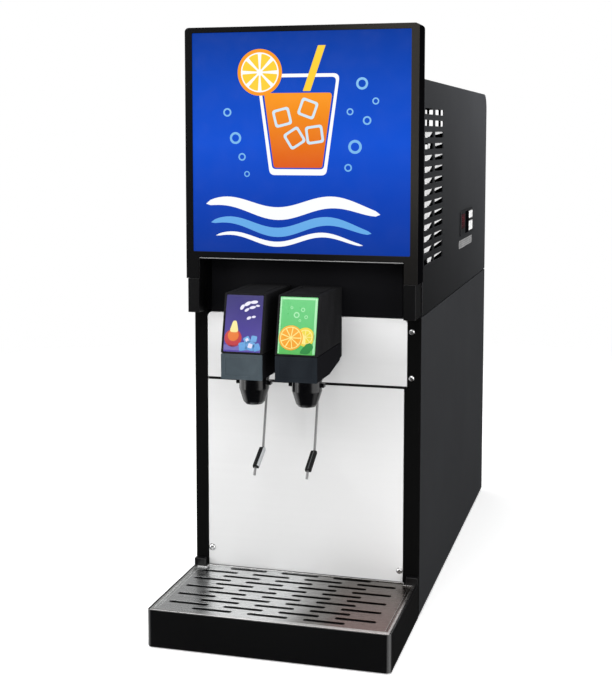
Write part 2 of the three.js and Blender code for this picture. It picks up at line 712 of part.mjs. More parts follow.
function controllerHousing() {
  const { y0, y1, z0, z1, flange } = CONTROLLER;
  const bezel = box(HALF + GAP, CONTROLLER_FACE, y0, y1, z0, z1);
  const body = box(
    CONTROLLER_REAR, HALF + OVER,
    y0 + flange + 0.5, y1 - flange - 0.5,
    z0 + 3.5, z1 - 3.5,
  );
  const window = box(
    DISPLAY.back - GAP, CONTROLLER_FACE + OVER,
    DISPLAY.y0 - GAP, DISPLAY.y1 + GAP,
    DISPLAY.z0 - GAP, DISPLAY.z1 + GAP,
  );
  const pockets = Object.values(KEY_HEIGHTS).map(([k0, k1]) => box(
    KEY.back - KEY.travel, CONTROLLER_FACE + OVER,
    KEY.y0 - GAP, KEY.y1 + GAP,
    k0 - GAP, k1 + GAP,
  ));
  return cut(join(bezel, body), window, ...pockets);
}

piece('controller_housing', controllerHousing(), 'blackPlastic');
piece(
  'controller_display',
  box(DISPLAY.back, DISPLAY.front, DISPLAY.y0, DISPLAY.y1, DISPLAY.z0, DISPLAY.z1),
  'display',
);
for (const [name, [k0, k1]] of Object.entries(KEY_HEIGHTS)) {
  piece(name, box(KEY.back, KEY_PROUD, KEY.y0, KEY.y1, k0, k1), 'whiteKey');
}

// ---------------------------------------------------------------- cold bath
const BATH = { halfWidth: 110.5, front: 36.5, back: 419.5, bottom: 26.5, top: 350.5, wall: 1.5 };
const FOAM = { wall: 20, clearance: 0.5, bottom: 6, top: 351 };

function insulation() {
  const { halfWidth, front, back, bottom } = BATH;
  const { wall, clearance, top } = FOAM;
  const [x, y0, y1] = [halfWidth + clearance, front - clearance, back + clearance];
  return cut(
    box(-x - wall, x + wall, y0 - wall, y1 + wall, FOAM.bottom, top),
    box(-x, x, y0, y1, bottom - clearance, top + OVER),
  );
}

function waterTank() {
  const { halfWidth, front, back, bottom, top, wall } = BATH;
  return cut(
    box(-halfWidth, halfWidth, front, back, bottom, top),
    box(-halfWidth + wall, halfWidth - wall, front + wall, back - wall, bottom + wall, top + OVER),
  );
}

const COIL = { a: 96, b: 176, y: 228, z: 70, rise: 170, turns: 4, tube: 4 };

class CoilPath extends THREE.Curve {
  getPoint(t, target = new THREE.Vector3()) {
    const angle = t * COIL.turns * 2 * Math.PI;
    const x = COIL.a * Math.cos(angle);
    const y = COIL.y + COIL.b * Math.sin(angle);
    return target.set(x, y, COIL.z + t * COIL.rise);
  }
}

function evaporatorCoil() {
  const section = new THREE.Shape().absarc(0, 0, COIL.tube, 0, 2 * Math.PI, false);
  const settings = { extrudePath: new CoilPath(), steps: COIL.turns * 24, curveSegments: 4 };
  return solidOf(new THREE.ExtrudeGeometry(section, settings));
}

const CARBONATOR = { y: 310, radius: 48, shoulder: 34, bottom: 50, top: 302, neck: 10, wall: 2 };

function carbonatorTank() {
  const { y, radius, shoulder, bottom, top, neck, wall } = CARBONATOR;
  const dome = 16;
  const neckTop = top + 10;
  const outside = [
    [0, bottom], [shoulder, bottom + 2], [radius, bottom + dome], [radius, top - dome],
    [shoulder, top - 2], [neck, top], [neck, neckTop],
  ];
  const inside = [
    [neck - wall * 2, neckTop], [neck - wall * 2, top - wall], [shoulder - wall, top - 2 - wall],
    [radius - wall, top - dome], [radius - wall, bottom + dome], [shoulder - wall, bottom + 2 + wall],
    [0, bottom + wall],
  ];
  return turned([...outside, ...inside, outside[0]], 0, y, 20);
}

const AGITATOR_MOTOR = { flange: 38, radius: 32, cap: 24, height: 70, bore: 28 };

function agitatorMotor() {
  const { x, y, shaft } = AGITATOR;
  const { flange, radius, cap, height, bore } = AGITATOR_MOTOR;
  const foot = DECK_TOP + GAP;
  const body = turned([
    [0, foot], [flange, foot], [flange, foot + 5], [radius, foot + 6],
    [radius, foot + height - 8], [cap, foot + height], [0, foot + height],
  ], x, y, 20);
  return cut(body, bar([x, y, foot - OVER], [x, y, foot + bore + 2], shaft + 0.5, 16));
}

const PROPELLER = { z: 128, hub: 9, hubHalf: 10, blades: 3, length: 26, width: 14, twist: 0.5 };

function agitator() {
  const { x, y, shaft } = AGITATOR;
  const { z, hub, hubHalf, blades, length, width, twist } = PROPELLER;
  let rotor = join(
    bar([x, y, z - 6], [x, y, DECK_TOP + AGITATOR_MOTOR.bore], shaft, 12),
    bar([x, y, z - hubHalf], [x, y, z + hubHalf], hub, 12),
  );
  for (let i = 0; i < blades; i += 1) {
    const blade = new THREE.BoxGeometry(length, width, 2).rotateX(twist);
    blade.translate(hub - 3 + length / 2, 0, z).rotateZ((i * 2 * Math.PI) / blades);
    rotor = join(rotor, solidOf(blade.translate(x, y, 0)));
  }
  return rotor;
}

piece('insulation', insulation(), 'foam');
piece('water_tank', waterTank(), 'stainless');
piece('evaporator_coil', evaporatorCoil(), 'copper');
piece('carbonator_tank', carbonatorTank(), 'stainless');
piece('agitator_motor', agitatorMotor(), 'greySteel');
piece('agitator', agitator(), 'stainless');

// ---------------------------------------------------------------- equipment on the deck
const FAN = { x: -53, z: 456, y: 480, hole: 80, blade: 73, hub: 18, blades: 5 };
const FAN_MOTOR = { front: 418, back: 460, radius: 28, strutY: [446, 450], strutHalf: 6 };

const COMPRESSOR = { x: -58, y: 300, foot: 66, radius: 60, height: 150 };

function compressor() {
  // welded shell on a foot plate; its underside is open above the plate's mounting ring
  const { x, y, foot, radius, height } = COMPRESSOR;
  const z = DECK_TOP + GAP;
  const shell = turned([
    [0, z], [foot, z], [foot, z + 4], [radius - 4, z + 8], [radius, z + 22], [radius, z + 96],
    [radius - 6, z + 128], [radius - 22, z + 142], [12, z + 146], [12, z + height], [0, z + height],
  ], x, y);
  const hollow = bar([x, y, z - OVER], [x, y, z + 92], 38, 20);
  return cut(shell, hollow);
}

const CONDENSER = { x0: -128, x1: 22, y0: 500, y1: 545, top: 550 };
const FIN = { pitch: 9, slot: 4.5, depth: 12, margin: 8 };

function condenser() {
  const { x0, x1, y0, y1, top } = CONDENSER;
  const z0 = DECK_TOP + GAP;
  const grooves = [];
  for (let x = x0 + FIN.margin; x < x1 - FIN.slot; x += FIN.pitch) {
    const [g0, g1] = [z0 + FIN.margin, top - FIN.margin];
    grooves.push(box(x, x + FIN.slot, y0 - OVER, y0 + FIN.depth, g0, g1));
    grooves.push(box(x, x + FIN.slot, y1 - FIN.depth, y1 + OVER, g0, g1));
  }
  return cut(box(x0, x1, y0, y1, z0, top), ...grooves);
}

function fanMotor() {
  // shroud plate, strut and motor in one frame
  const { x, y, z, hole } = FAN;
  const { front, back, radius, strutY: [s0, s1], strutHalf } = FAN_MOTOR;
  const plate = box(-136, 30, y - 1, y + 1, DECK_TOP + GAP, CONDENSER.top);
  const opening = bar([x, y - 5, z], [x, y + 5, z], hole, 32);
  const reach = hole + 10;
  const strut = box(x - strutHalf, x + strutHalf, s0, s1, z - reach, z + reach);
  const legs = [z - reach, z + reach - 4].map(
    (foot) => box(x - strutHalf, x + strutHalf, s0, y, foot, foot + 4),
  );
  const motor = bar([x, front, z], [x, back, z], radius, 20);
  return join(cut(plate, opening), strut, ...legs, motor);
}

function fanRotor() {
  const { x, y, z, hub, blade: tip, blades } = FAN;
  let rotor = join(
    bar([x, y - 14, z], [x, y + 10, z], hub, 20),
    bar([x, FAN_MOTOR.back + GAP, z], [x, y, z], 3, 12),
  );
  const root = hub - 4;
  for (let i = 0; i < blades; i += 1) {
    const blade = new THREE.BoxGeometry(tip - root, 2, 38).rotateX(-0.45);
    blade.translate((root + tip) / 2, 0, 0).rotateY((i * 2 * Math.PI) / blades);
    rotor = join(rotor, solidOf(blade.translate(x, y, z)));
  }
  return rotor;
}

const PUMP = { x: 82, z: 396, motor: [132, 248, 33], neck: [112, 134, 14], head: [78, 114, 22] };

function waterPump() {
  const { x, z, motor, neck, head } = PUMP;
  const stages = [motor, neck, head].map(([y0, y1, r]) => bar([x, y0, z], [x, y1, z], r, 20));
  const cradle = box(x - 24, x + 24, 150, 230, DECK_TOP + GAP, z - 20);
  const ports = [-1, 1].map((side) => bar([x + side * 16, 96, z], [x + side * 30, 96, z], 6, 12));
  return join(...stages, cradle, ...ports);
}

const CONTROL_BOX = { x0: 90, x1: 134, y0: 430, y1: 560, top: 520, wall: 1.5 };

function controlBox() {
  const { x0, x1, y0, y1, top, wall } = CONTROL_BOX;
  const z0 = DECK_TOP + GAP;
  return cut(
    box(x0, x1, y0, y1, z0, top),
    box(x0 + wall, x1 - wall, y0 + wall, y1 - wall, z0 - OVER, top - wall),
  );
}

piece('compressor', compressor(), 'blackSteel');
piece('condenser', condenser(), 'zinc');
piece('fan_motor', fanMotor(), 'greySteel');
piece('fan_rotor', fanRotor(), 'greyPlastic');
piece('water_pump', waterPump(), 'greySteel');
piece('control_box', controlBox(), 'zinc');

// ---------------------------------------------------------------- rear connections
const BRACKET = { halfWidth: 70, front: 510, y: 538, top: 140 };
const BARB = { x: [-45, -15, 15, 45], z: 90, nut: 9, stem: 4, ridge: 5, end: 568 };

function inletFittings() {
  // bracket with four hose barbs, set back behind the rear panel's opening
  const { halfWidth, front, y, top } = BRACKET;
  const z0 = FLOOR + SHEET + GAP;
  const plate = box(-halfWidth, halfWidth, y, y + 2, z0, top);
  const sole = box(-halfWidth, halfWidth, front, y + OVER, z0, z0 + 2);
  const barbs = BARB.x.flatMap((x) => {
    const along = (y0, y1, radius, sides) => bar([x, y0, BARB.z], [x, y1, BARB.z], radius, sides);
    return [
      along(y + OVER, y + 8, BARB.nut, 6),
      along(y + 7, BARB.end, BARB.stem, 12),
      along(BARB.end - 12, BARB.end - 9, BARB.ridge, 12),
      along(BARB.end - 5, BARB.end - 2, BARB.ridge, 12),
    ];
  });
  return join(plate, sole, ...barbs);
}

function mainsInlet() {
  const { x, socketZ, rockerZ, halfWidth, bottom, top } = INLET;
  const [front, outside] = [545, DEPTH + OVER];
  const lap = 5; // how far the flange reaches past the panel's hole
  const flangeBack = DEPTH - SHEET - GAP;
  const body = box(x - halfWidth, x + halfWidth, front, DEPTH - 0.1, bottom, top);
  const flange = box(
    x - halfWidth - lap, x + halfWidth + lap,
    flangeBack - 2, flangeBack,
    bottom - lap, top + lap,
  );
  const socket = box(x - 12, x + 12, front + 7, outside, socketZ - 8, socketZ + 8);
  const rockerWell = box(x - 9, x + 9, front + 11, outside, rockerZ - 10, rockerZ + 10);
  const pins = [[-7, -2], [0, 2], [7, -2]].map(([px, pz]) => box(
    x + px - 1, x + px + 1,
    front + 6, front + 21,
    socketZ + pz - 2, socketZ + pz + 2,
  ));
  return join(cut(join(body, flange), socket, rockerWell), ...pins);
}

piece('inlet_fittings', inletFittings(), 'stainless');
piece('mains_inlet', mainsInlet(), 'blackPlastic');
const ROCKER = { halfWidth: 8.6, halfHeight: 8.5, front: -3, back: 5.5, pivotY: 566, tiltDeg: -12 };
const rockerSolid = box(
  -ROCKER.halfWidth, ROCKER.halfWidth,
  ROCKER.front, ROCKER.back,
  -ROCKER.halfHeight, ROCKER.halfHeight,
);
const rocker = piece('mains_switch', rockerSolid, 'blackPlastic');
rocker.position.set(INLET.x, ROCKER.pivotY, INLET.rockerZ);
rocker.rotation.x = THREE.MathUtils.degToRad(ROCKER.tiltDeg);

// ---------------------------------------------------------------- placing the machine
machine.position.set(-(KEY_PROUD - HALF) / 2, -(DEPTH - TRAY_OUT) / 2, 0);
const root = new THREE.Group();
root.add(machine);

export default root;
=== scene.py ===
import math
import random

import bmesh
import bpy
from mathutils import Matrix, Vector


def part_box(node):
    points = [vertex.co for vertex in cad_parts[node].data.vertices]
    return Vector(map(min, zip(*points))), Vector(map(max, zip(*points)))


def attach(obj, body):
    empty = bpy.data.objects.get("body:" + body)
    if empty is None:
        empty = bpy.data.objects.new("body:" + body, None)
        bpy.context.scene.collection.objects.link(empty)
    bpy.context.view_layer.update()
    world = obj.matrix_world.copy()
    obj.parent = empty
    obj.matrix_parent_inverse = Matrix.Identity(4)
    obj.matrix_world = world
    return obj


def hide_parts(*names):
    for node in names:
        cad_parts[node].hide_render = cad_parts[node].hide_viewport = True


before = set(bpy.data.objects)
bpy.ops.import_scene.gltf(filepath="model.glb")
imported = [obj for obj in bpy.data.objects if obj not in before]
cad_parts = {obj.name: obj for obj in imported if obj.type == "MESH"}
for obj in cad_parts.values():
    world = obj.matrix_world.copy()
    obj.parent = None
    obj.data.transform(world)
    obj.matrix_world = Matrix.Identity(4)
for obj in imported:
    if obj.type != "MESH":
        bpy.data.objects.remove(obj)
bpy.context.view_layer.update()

MM = 0.001
LEFT_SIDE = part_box("side_panel_left")
RIGHT_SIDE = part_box("side_panel_right")
ORIGIN = Vector(((LEFT_SIDE[0].x + RIGHT_SIDE[1].x) / 2, LEFT_SIDE[0].y, 0.0))
CHANCE = random.Random(7)


def span(node):
    """Lowest and highest corner of a CAD node, in millimetres from ORIGIN."""
    low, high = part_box(node)
    return (low - ORIGIN) / MM, (high - ORIGIN) / MM


def extent(node, axis="Y"):
    """(u0, u1, v0, v1) of a CAD node, in the directions that slab() uses across axis."""
    low, high = span(node)
    u, v = {"X": (1, 2), "Y": (0, 2), "Z": (0, 1)}[axis]
    return low[u], high[u], low[v], high[v]


# ---------------------------------------------------------------- outlines
def arc(u, v, radius, start, end, steps=8):
    """Points on a circle round (u, v); start and end in degrees."""
    angles = [math.radians(start + (end - start) * i / steps) for i in range(steps + 1)]
    return [(u + radius * math.cos(a), v + radius * math.sin(a)) for a in angles]


def circle(u, v, radius, steps=32):
    return arc(u, v, radius, 0, 360, steps)[:-1]


def rounded(u0, u1, v0, v1, radius, steps=6):
    """Rectangle with round corners. radius is one number, or four: lower left and on anticlockwise."""
    a, b, c, d = radius if isinstance(radius, (list, tuple)) else [radius] * 4
    corners = [
        (u0 + a, v0 + a, a, 180), (u1 - b, v0 + b, b, 270),
        (u1 - c, v1 - c, c, 0), (u0 + d, v1 - d, d, 90),
    ]
    points = []
    for u, v, r, start in corners:
        points += arc(u, v, r, start, start + 90, steps) if r else [(u, v)]
    return points


def framed(extents, margin, radius, steps=6):
    """Rounded rectangle that lies margin outside (u0, u1, v0, v1)."""
    u0, u1, v0, v1 = extents
    return rounded(u0 - margin, u1 + margin, v0 - margin, v1 + margin, radius, steps)


def centred(u, v, width, height, radius, steps=6):
    """Rounded rectangle with its middle at (u, v)."""
    return rounded(u - width / 2, u + width / 2, v - height / 2, v + height / 2, radius, steps)


def filleted(points, radius, steps=6, closed=False):
    """The line through points with its corners rounded; points have two or three coordinates."""
    line = [Vector(p) for p in points]
    count = len(line)
    result = []
    for i, corner in enumerate(line):
        if not closed and i in (0, count - 1):
            result.append(corner)
            continue
        before, after = line[i - 1] - corner, line[(i + 1) % count] - corner
        half = before.angle(after) / 2
        reach = min(radius / math.tan(half), before.length * 0.49, after.length * 0.49)
        start, end = corner + before.normalized() * reach, corner + after.normalized() * reach
        for k in range(steps + 1):
            t = k / steps
            result.append(start.lerp(corner, t).lerp(corner.lerp(end, t), t))
    return result


def turned_about(points, angle, u, v):
    """Points turned by angle degrees round (u, v)."""
    c, s = math.cos(math.radians(angle)), math.sin(math.radians(angle))
    return [(u + (a - u) * c - (b - v) * s, v + (a - u) * s + (b - v) * c) for a, b in points]


# ---------------------------------------------------------------- solids
def new_object(mesh, name="solid"):
    obj = bpy.data.objects.new(name, mesh)
    bpy.context.scene.collection.objects.link(obj)
    return obj


def from_bmesh(bm):
    bmesh.ops.remove_doubles(bm, verts=bm.verts, dist=1e-4)
    bmesh.ops.recalc_face_normals(bm, faces=bm.faces)
    mesh = bpy.data.meshes.new("solid")
    bm.to_mesh(mesh)
    bm.free()
    return new_object(mesh)


def settle(obj):
    """Applies the object's modifiers, or turns a curve into a mesh."""
    bpy.context.view_layer.update()
    graph = bpy.context.evaluated_depsgraph_get()
    mesh = bpy.data.meshes.new_from_object(obj.evaluated_get(graph))
    bpy.data.objects.remove(obj)
    return new_object(mesh)


def cleaned(obj, matrix=Matrix.Identity(4)):
    bm = bmesh.new()
    bm.from_mesh(obj.data)
    bm.transform(matrix)
    bpy.data.objects.remove(obj)
    return from_bmesh(bm)


PLANES = {
    "X": Matrix(((0, 0, 1, 0), (1, 0, 0, 0), (0, 1, 0, 0), (0, 0, 0, 1))),
    "Y": Matrix(((1, 0, 0, 0), (0, 0, 1, 0), (0, 1, 0, 0), (0, 0, 0, 1))),
    "Z": Matrix.Identity(4),
}


def slab(outline, near, far, axis="Y", holes=(), edge=0.0, rings=2):
    """A flat plate from near to far along axis, with rounded rims. Across X the outline is (y, z)."""
    def area(loop):
        return sum(p[0] * q[1] - q[0] * p[1] for p, q in zip(loop, [*loop[1:], loop[0]]))

    curve = bpy.data.curves.new("outline", "CURVE")
    curve.dimensions = "2D"
    curve.fill_mode = "BOTH"
    curve.extrude = (far - near) / 2 - edge
    curve.bevel_depth = edge
    curve.bevel_resolution = rings
    curve.offset = -edge
    for i, loop in enumerate([outline, *holes]):
        turn = (area(loop) > 0) == (i == 0)
        points = list(loop) if turn else list(reversed(loop))
        spline = curve.splines.new("POLY")
        spline.points.add(len(points) - 1)
        spline.points.foreach_set("co", [c for p in points for c in (p[0], p[1], 0.0, 1.0)])
        spline.use_cyclic_u = True
    obj = settle(new_object(curve))
    return cleaned(obj, PLANES[axis] @ Matrix.Translation((0, 0, (near + far) / 2)))


def block(low, high, edge=0.5, rings=3):
    """A box with rounded edges."""
    low, high = Vector(low), Vector(high)
    bm = bmesh.new()
    size = Matrix.Diagonal((*(high - low), 1.0))
    bmesh.ops.create_cube(bm, size=1.0, matrix=Matrix.Translation((low + high) / 2) @ size)
    if edge:
        bmesh.ops.bevel(
            bm, geom=bm.edges[:], offset=edge, segments=rings, profile=0.5, affect="EDGES",
        )
    return from_bmesh(bm)


def lathe(profile, centre, sides=48):
    """A turned, upright shape; profile is (radius, height) pairs."""
    bm = bmesh.new()
    angles = [2 * math.pi * i / sides for i in range(sides)]
    rings = []
    for radius, height in profile:
        if radius < 1e-6:
            rings.append([bm.verts.new((0, 0, height))])
        else:
            rings.append([
                bm.verts.new((radius * math.cos(a), radius * math.sin(a), height)) for a in angles
            ])
    for low, high in zip(rings, rings[1:]):
        for i in range(sides):
            j = (i + 1) % sides
            around = [low[i % len(low)], low[j % len(low)], high[j % len(high)], high[i % len(high)]]
            corners = list(dict.fromkeys(around))
            if len(corners) > 2:
                bm.faces.new(corners)
    bm.transform(Matrix.Translation(centre))
    return from_bmesh(bm)


def tube(points, radius, bend):
    """A round rod along points with bends of that radius."""
    path = filleted(points, bend, 8)
    curve = bpy.data.curves.new("path", "CURVE")
    curve.dimensions = "3D"
    curve.bevel_depth = radius
    curve.bevel_resolution = 6
    curve.use_fill_caps = True
    spline = curve.splines.new("POLY")
    spline.points.add(len(path) - 1)
    spline.points.foreach_set("co", [c for p in path for c in (*p, 1.0)])
    return cleaned(settle(new_object(curve)))


def joined(*solids):
    """Several solids as one mesh, without cutting them where they meet."""
    bm = bmesh.new()
    for solid in solids:
        bm.from_mesh(solid.data)
        bpy.data.objects.remove(solid)
    return from_bmesh(bm)


def combined(target, tool, operation):
    modifier = target.modifiers.new("boolean", "BOOLEAN")
    modifier.object = tool
    modifier.operation = operation
    modifier.solver = "MANIFOLD"
    result = settle(target)
    bpy.data.objects.remove(tool)
    return result


def cut(target, *tools):
    for tool in tools:
        target = combined(target, tool, "DIFFERENCE")
    return target


def fused(target, other):
    return combined(target, other, "UNION")


def softened(obj, width):
    """Rounds the sharp edges."""
    bm = bmesh.new()
    bm.from_mesh(obj.data)
    bmesh.ops.remove_doubles(bm, verts=bm.verts, dist=1e-3)
    bmesh.ops.dissolve_limit(bm, angle_limit=math.radians(0.5), verts=bm.verts, edges=bm.edges)
    bm.to_mesh(obj.data)
    bm.free()
    modifier = obj.modifiers.new("edges", "BEVEL")
    modifier.width = width
    modifier.segments = 2
    modifier.limit_method = "ANGLE"
    modifier.angle_limit = math.radians(50)
    return settle(obj)


def moved(obj, matrix):
    obj.data.transform(matrix)
    return obj


# ---------------------------------------------------------------- materials
def srgb(red, green, blue):
    """A linear colour from 0 to 255 display values."""
    def linear(value):
        value /= 255
        return value / 12.92 if value <= 0.04045 else ((value + 0.055) / 1.055) ** 2.4
    return (linear(red), linear(green), linear(blue), 1.0)


def grey(value):
    """A linear neutral colour."""
    return (value, value, value, 1.0)


ALONG_X = (0.02, 1.0, 1.0)


class Graph:
    """Short ways to add nodes to a material or to the world; place is the kind of coordinates used."""

    def __init__(self, tree, place):
        self.tree = tree
        self.place = self.node("ShaderNodeTexCoord").outputs[place]

    def node(self, kind, **settings):
        made = self.tree.nodes.new(kind)
        for key, value in settings.items():
            setattr(made, key, value)
        return made

    def feed(self, node, inputs):
        """Sets each input of the node to a plain value, or links it to a source."""
        for name, value in inputs.items():
            if isinstance(value, (float, int, tuple)):
                node.inputs[name].default_value = value
            else:
                self.tree.links.new(value, node.inputs[name])

    def axis(self, letter):
        split = self.node("ShaderNodeSeparateXYZ")
        self.feed(split, {"Vector": self.place})
        return split.outputs[letter]

    def ranged(self, source, low, high, to_low=0.0, to_high=1.0, smooth=False):
        made = self.node("ShaderNodeMapRange")
        made.interpolation_type = "SMOOTHSTEP" if smooth else "LINEAR"
        self.feed(made, {"Value": source, "From Min": low, "From Max": high})
        self.feed(made, {"To Min": to_low, "To Max": to_high})
        return made.outputs["Result"]

    def maths(self, operation, first, second=0.0):
        made = self.node("ShaderNodeMath", operation=operation)
        self.feed(made, {0: first, 1: second})
        return made.outputs[0]

    def times(self, first, second):
        return self.maths("MULTIPLY", first, second)


class Look(Graph):
    """One procedural material, and the record's material slot that it stands for."""

    def __init__(self, name, slot, roughness, metallic=0.0, specular=0.5):
        self.name = name
        self.slot = slot
        self.material = bpy.data.materials.new(name)
        self.material.use_nodes = True
        super().__init__(self.material.node_tree, "Object")
        self.shader = self.tree.nodes["Principled BSDF"]
        self.paint({"Roughness": roughness, "Metallic": metallic, "Specular IOR Level": specular})

    def paint(self, inputs):
        self.feed(self.shader, inputs)

    def colour(self, source):
        self.paint({"Base Color": source})

    def tone(self):
        """What the base colour is linked to at the moment."""
        return self.shader.inputs["Base Color"].links[0].from_socket

    def noise(self, size, detail=3.0, stretch=None, distortion=0.0):
        """Noise from 0 to 1 with features of about size metres; stretch draws it out along the axes."""
        place = self.place
        if stretch:
            mapping = self.node("ShaderNodeMapping")
            self.feed(mapping, {"Vector": place, "Scale": stretch})
            place = mapping.outputs["Vector"]
        noise = self.node("ShaderNodeTexNoise")
        self.feed(noise, {"Vector": place, "Scale": 1 / size, "Detail": detail, "Distortion": distortion})
        return noise.outputs["Fac"]

    def cells(self, size):
        cells = self.node("ShaderNodeTexVoronoi")
        self.feed(cells, {"Vector": self.place, "Scale": 1 / size})
        return cells.outputs["Distance"]

    def ramp(self, source, *stops):
        """A colour from a value; stops are (position, colour)."""
        made = self.node("ShaderNodeValToRGB")
        elements = made.color_ramp.elements
        while len(elements) < len(stops):
            elements.new(0.5)
        for element, (position, colour) in zip(elements, stops):
            element.position = position
            element.color = colour
        self.feed(made, {"Fac": source})
        return made.outputs["Color"]

    def mixed(self, factor, first, second, blend="MIX"):
        made = self.node("ShaderNodeMix", data_type="RGBA", blend_type=blend)
        self.feed(made, {0: factor, 6: first, 7: second})
        return made.outputs[2]

    def edges(self, radius):
        """1 on rounded or sharp edges within radius metres, 0 on flat faces."""
        bevel = self.node("ShaderNodeBevel", samples=4)
        self.feed(bevel, {"Radius": radius})
        flat = self.node("ShaderNodeNewGeometry")
        dot = self.node("ShaderNodeVectorMath", operation="DOT_PRODUCT")
        self.feed(dot, {0: bevel.outputs["Normal"], 1: flat.outputs["Normal"]})
        return self.ranged(dot.outputs["Value"], 0.995, 0.85)

    def bump(self, height, depth, strength):
        """Relief with that depth in metres for a height of 1."""
        made = self.node("ShaderNodeBump")
        self.feed(made, {"Height": height, "Distance": depth, "Strength": strength})
        self.paint({"Normal": made.outputs["Normal"]})


def scaled(colour, factor, lift=0.0):
    return tuple(min(1.0, c * factor + lift) for c in colour[:3]) + (1.0,)


def evenly(colours):
    """Stops of a colour ramp, evenly spaced from 0 to 1."""
    return [(i / (len(colours) - 1), colour) for i, colour in enumerate(colours)]


def powder_coat(name, slot, dark, light, roughness, specular, edge_light=0.35):
    """Baked powder paint: fine orange peel, faint cloudy tone and slightly paler edges, a painted highlight.
    """
    look = Look(name, slot, roughness, specular=specular)
    tone = look.ramp(look.noise(0.16, 2.0), (0.25, dark), (0.8, light))
    # painted highlight: the edges are mixed towards a paler tone
    edge_highlight = look.times(look.edges(0.0007), edge_light)
    look.colour(look.mixed(edge_highlight, tone, scaled(light, 1 + edge_light * 4)))
    smear = look.noise(0.12, 3.0)
    look.paint({"Roughness": look.ranged(smear, 0.25, 0.8, roughness - 0.015, roughness + 0.02)})
    look.bump(look.noise(0.0011, 2.0), 0.00003, 0.35)
    return look


def sheet_steel(name, slot, tint, roughness, brush, streak=0.06, metallic=1.0, relief=0.35):
    """Bright sheet steel with a fine grain drawn along one axis; brush is the stretch of each axis."""
    look = Look(name, slot, roughness, metallic)
    fine = look.noise(0.0006, 2.0, brush)
    broad = look.noise(0.006, 3.0, brush)
    look.colour(look.ramp(broad, (0.25, scaled(tint, 1 - streak)), (0.8, tint)))
    smudge = look.noise(0.045, 3.0)
    rough = look.ranged(fine, 0.2, 0.8, roughness - 0.05, roughness + 0.05)
    stain = look.ranged(smudge, 0.45, 0.75, 0.0, 0.05)
    look.paint({"Roughness": look.maths("ADD", rough, stain)})
    look.bump(fine, 0.000012, relief)
    return look


def moulded(name, slot, dark, light, roughness, grain=0.0005, depth=0.00003, specular=0.5):
    """Moulded plastic or rubber: fine spark-eroded grain, faint flow marks, and paler edges, a painted
    highlight.
    """
    look = Look(name, slot, roughness, specular=specular)
    flow = look.noise(0.02, 4.0, (1.0, 1.0, 0.5), 0.6)
    tone = look.ramp(flow, (0.3, dark), (0.75, light))
    # painted highlight: the edges are mixed towards a paler tone
    edge_highlight = look.times(look.edges(0.0006), 0.5)
    look.colour(look.mixed(edge_highlight, tone, scaled(light, 1.8, 0.004)))
    smear = look.noise(0.012, 4.0)
    look.paint({"Roughness": look.ranged(smear, 0.3, 0.75, roughness - 0.05, roughness + 0.06)})
    look.bump(look.cells(grain), depth, 0.4)
    return look


def printed(name, slot, heights, colours, glow=0.0, roughness=0.3):
    """Print under a clear film, lit from behind by glow; its colours follow each other upwards between
    two heights in metres."""
    look = Look(name, slot, roughness)
    tones = [srgb(*colour) for colour in colours]
    tone = look.ramp(look.ranged(look.axis("Z"), *heights), *evenly(tones))
    dots = look.ranged(look.cells(0.0009), 0.1, 0.6, 0.97, 1.03)
    weave = look.ramp(dots, (0.0, grey(0.95)), (1.0, grey(1.0)))
    grain = look.mixed(1.0, tone, weave, "MULTIPLY")
    look.colour(look.mixed(1.0, grain, grey(0.05 if glow else 0.68), "MULTIPLY"))
    if glow:
        look.paint({"Emission Color": grain, "Emission Strength": glow})
    look.paint({"Coat Weight": 0.25, "Coat Roughness": 0.08})
    smear = look.noise(0.02)
    look.paint({"Roughness": look.ranged(smear, 0.3, 0.7, roughness - 0.04, roughness + 0.06)})
    return look


def side_paint(name, node, shades, front=None):
    """Dark grey paint with painted light, paler towards the back and the top; a front face may be painted
    near black as painted shade.
    """
    low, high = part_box(node)
    look = powder_coat(name, "black_steel", srgb(46, 47, 49), srgb(49, 50, 52), 0.45, 0.12)
    # painted light: the tone grows paler towards the back and the top
    back = look.times(look.ranged(look.axis("Y"), low.y, high.y), 0.5)
    top = look.times(look.ranged(look.axis("Z"), low.z, high.z), 0.5)
    shade = look.ramp(look.maths("ADD", back, top), *evenly([grey(value) for value in shades]))
    tone = look.mixed(1.0, look.tone(), shade, "MULTIPLY")
    if front is not None:
        # painted shade: the front face is painted near black
        behind = look.ranged(look.axis("Y"), front, front + 0.0004)
        tone = look.mixed(behind, srgb(9, 9, 9), tone)
        look.paint({"Specular IOR Level": look.ranged(behind, 0.0, 1.0, 0.03, 0.12)})
    look.colour(tone)
    return look


def tray_paint():
    """Satin black, with a painted highlight that makes the upright front corner on the right paler."""
    low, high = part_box("drip_tray")
    look = powder_coat("tray_black", "black_steel", srgb(4, 4, 5), srgb(6, 6, 7), 0.32, 0.5, 0.15)
    across = look.axis("X")
    side = look.ranged(across, high.x - 0.0050, high.x - 0.0036, smooth=True)
    outer = look.ranged(across, high.x - 0.0014, high.x - 0.0004, 1.0, 0.0, True)
    front = look.ranged(look.axis("Y"), low.y + 0.0036, low.y + 0.0050, 1.0, 0.0, True)
    # painted highlight on the upright front corner on the right
    corner_highlight = look.times(look.times(side, outer), front)
    look.colour(look.mixed(corner_highlight, look.tone(), srgb(56, 56, 56)))
    return look


def block_paint(name, dark, light):
    """Moulded valve block: its sides are painted darker than its front, as painted shade."""
    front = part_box("valve_body_left")[0].y
    look = moulded(name, "black_plastic", dark, light, 0.5, specular=0.0)
    # painted shade: behind the front face the sides turn darker
    behind = look.ranged(look.axis("Y"), front + 0.0008, front + 0.0018)
    look.colour(look.mixed(behind, look.tone(), srgb(20, 20, 22)))
    return look


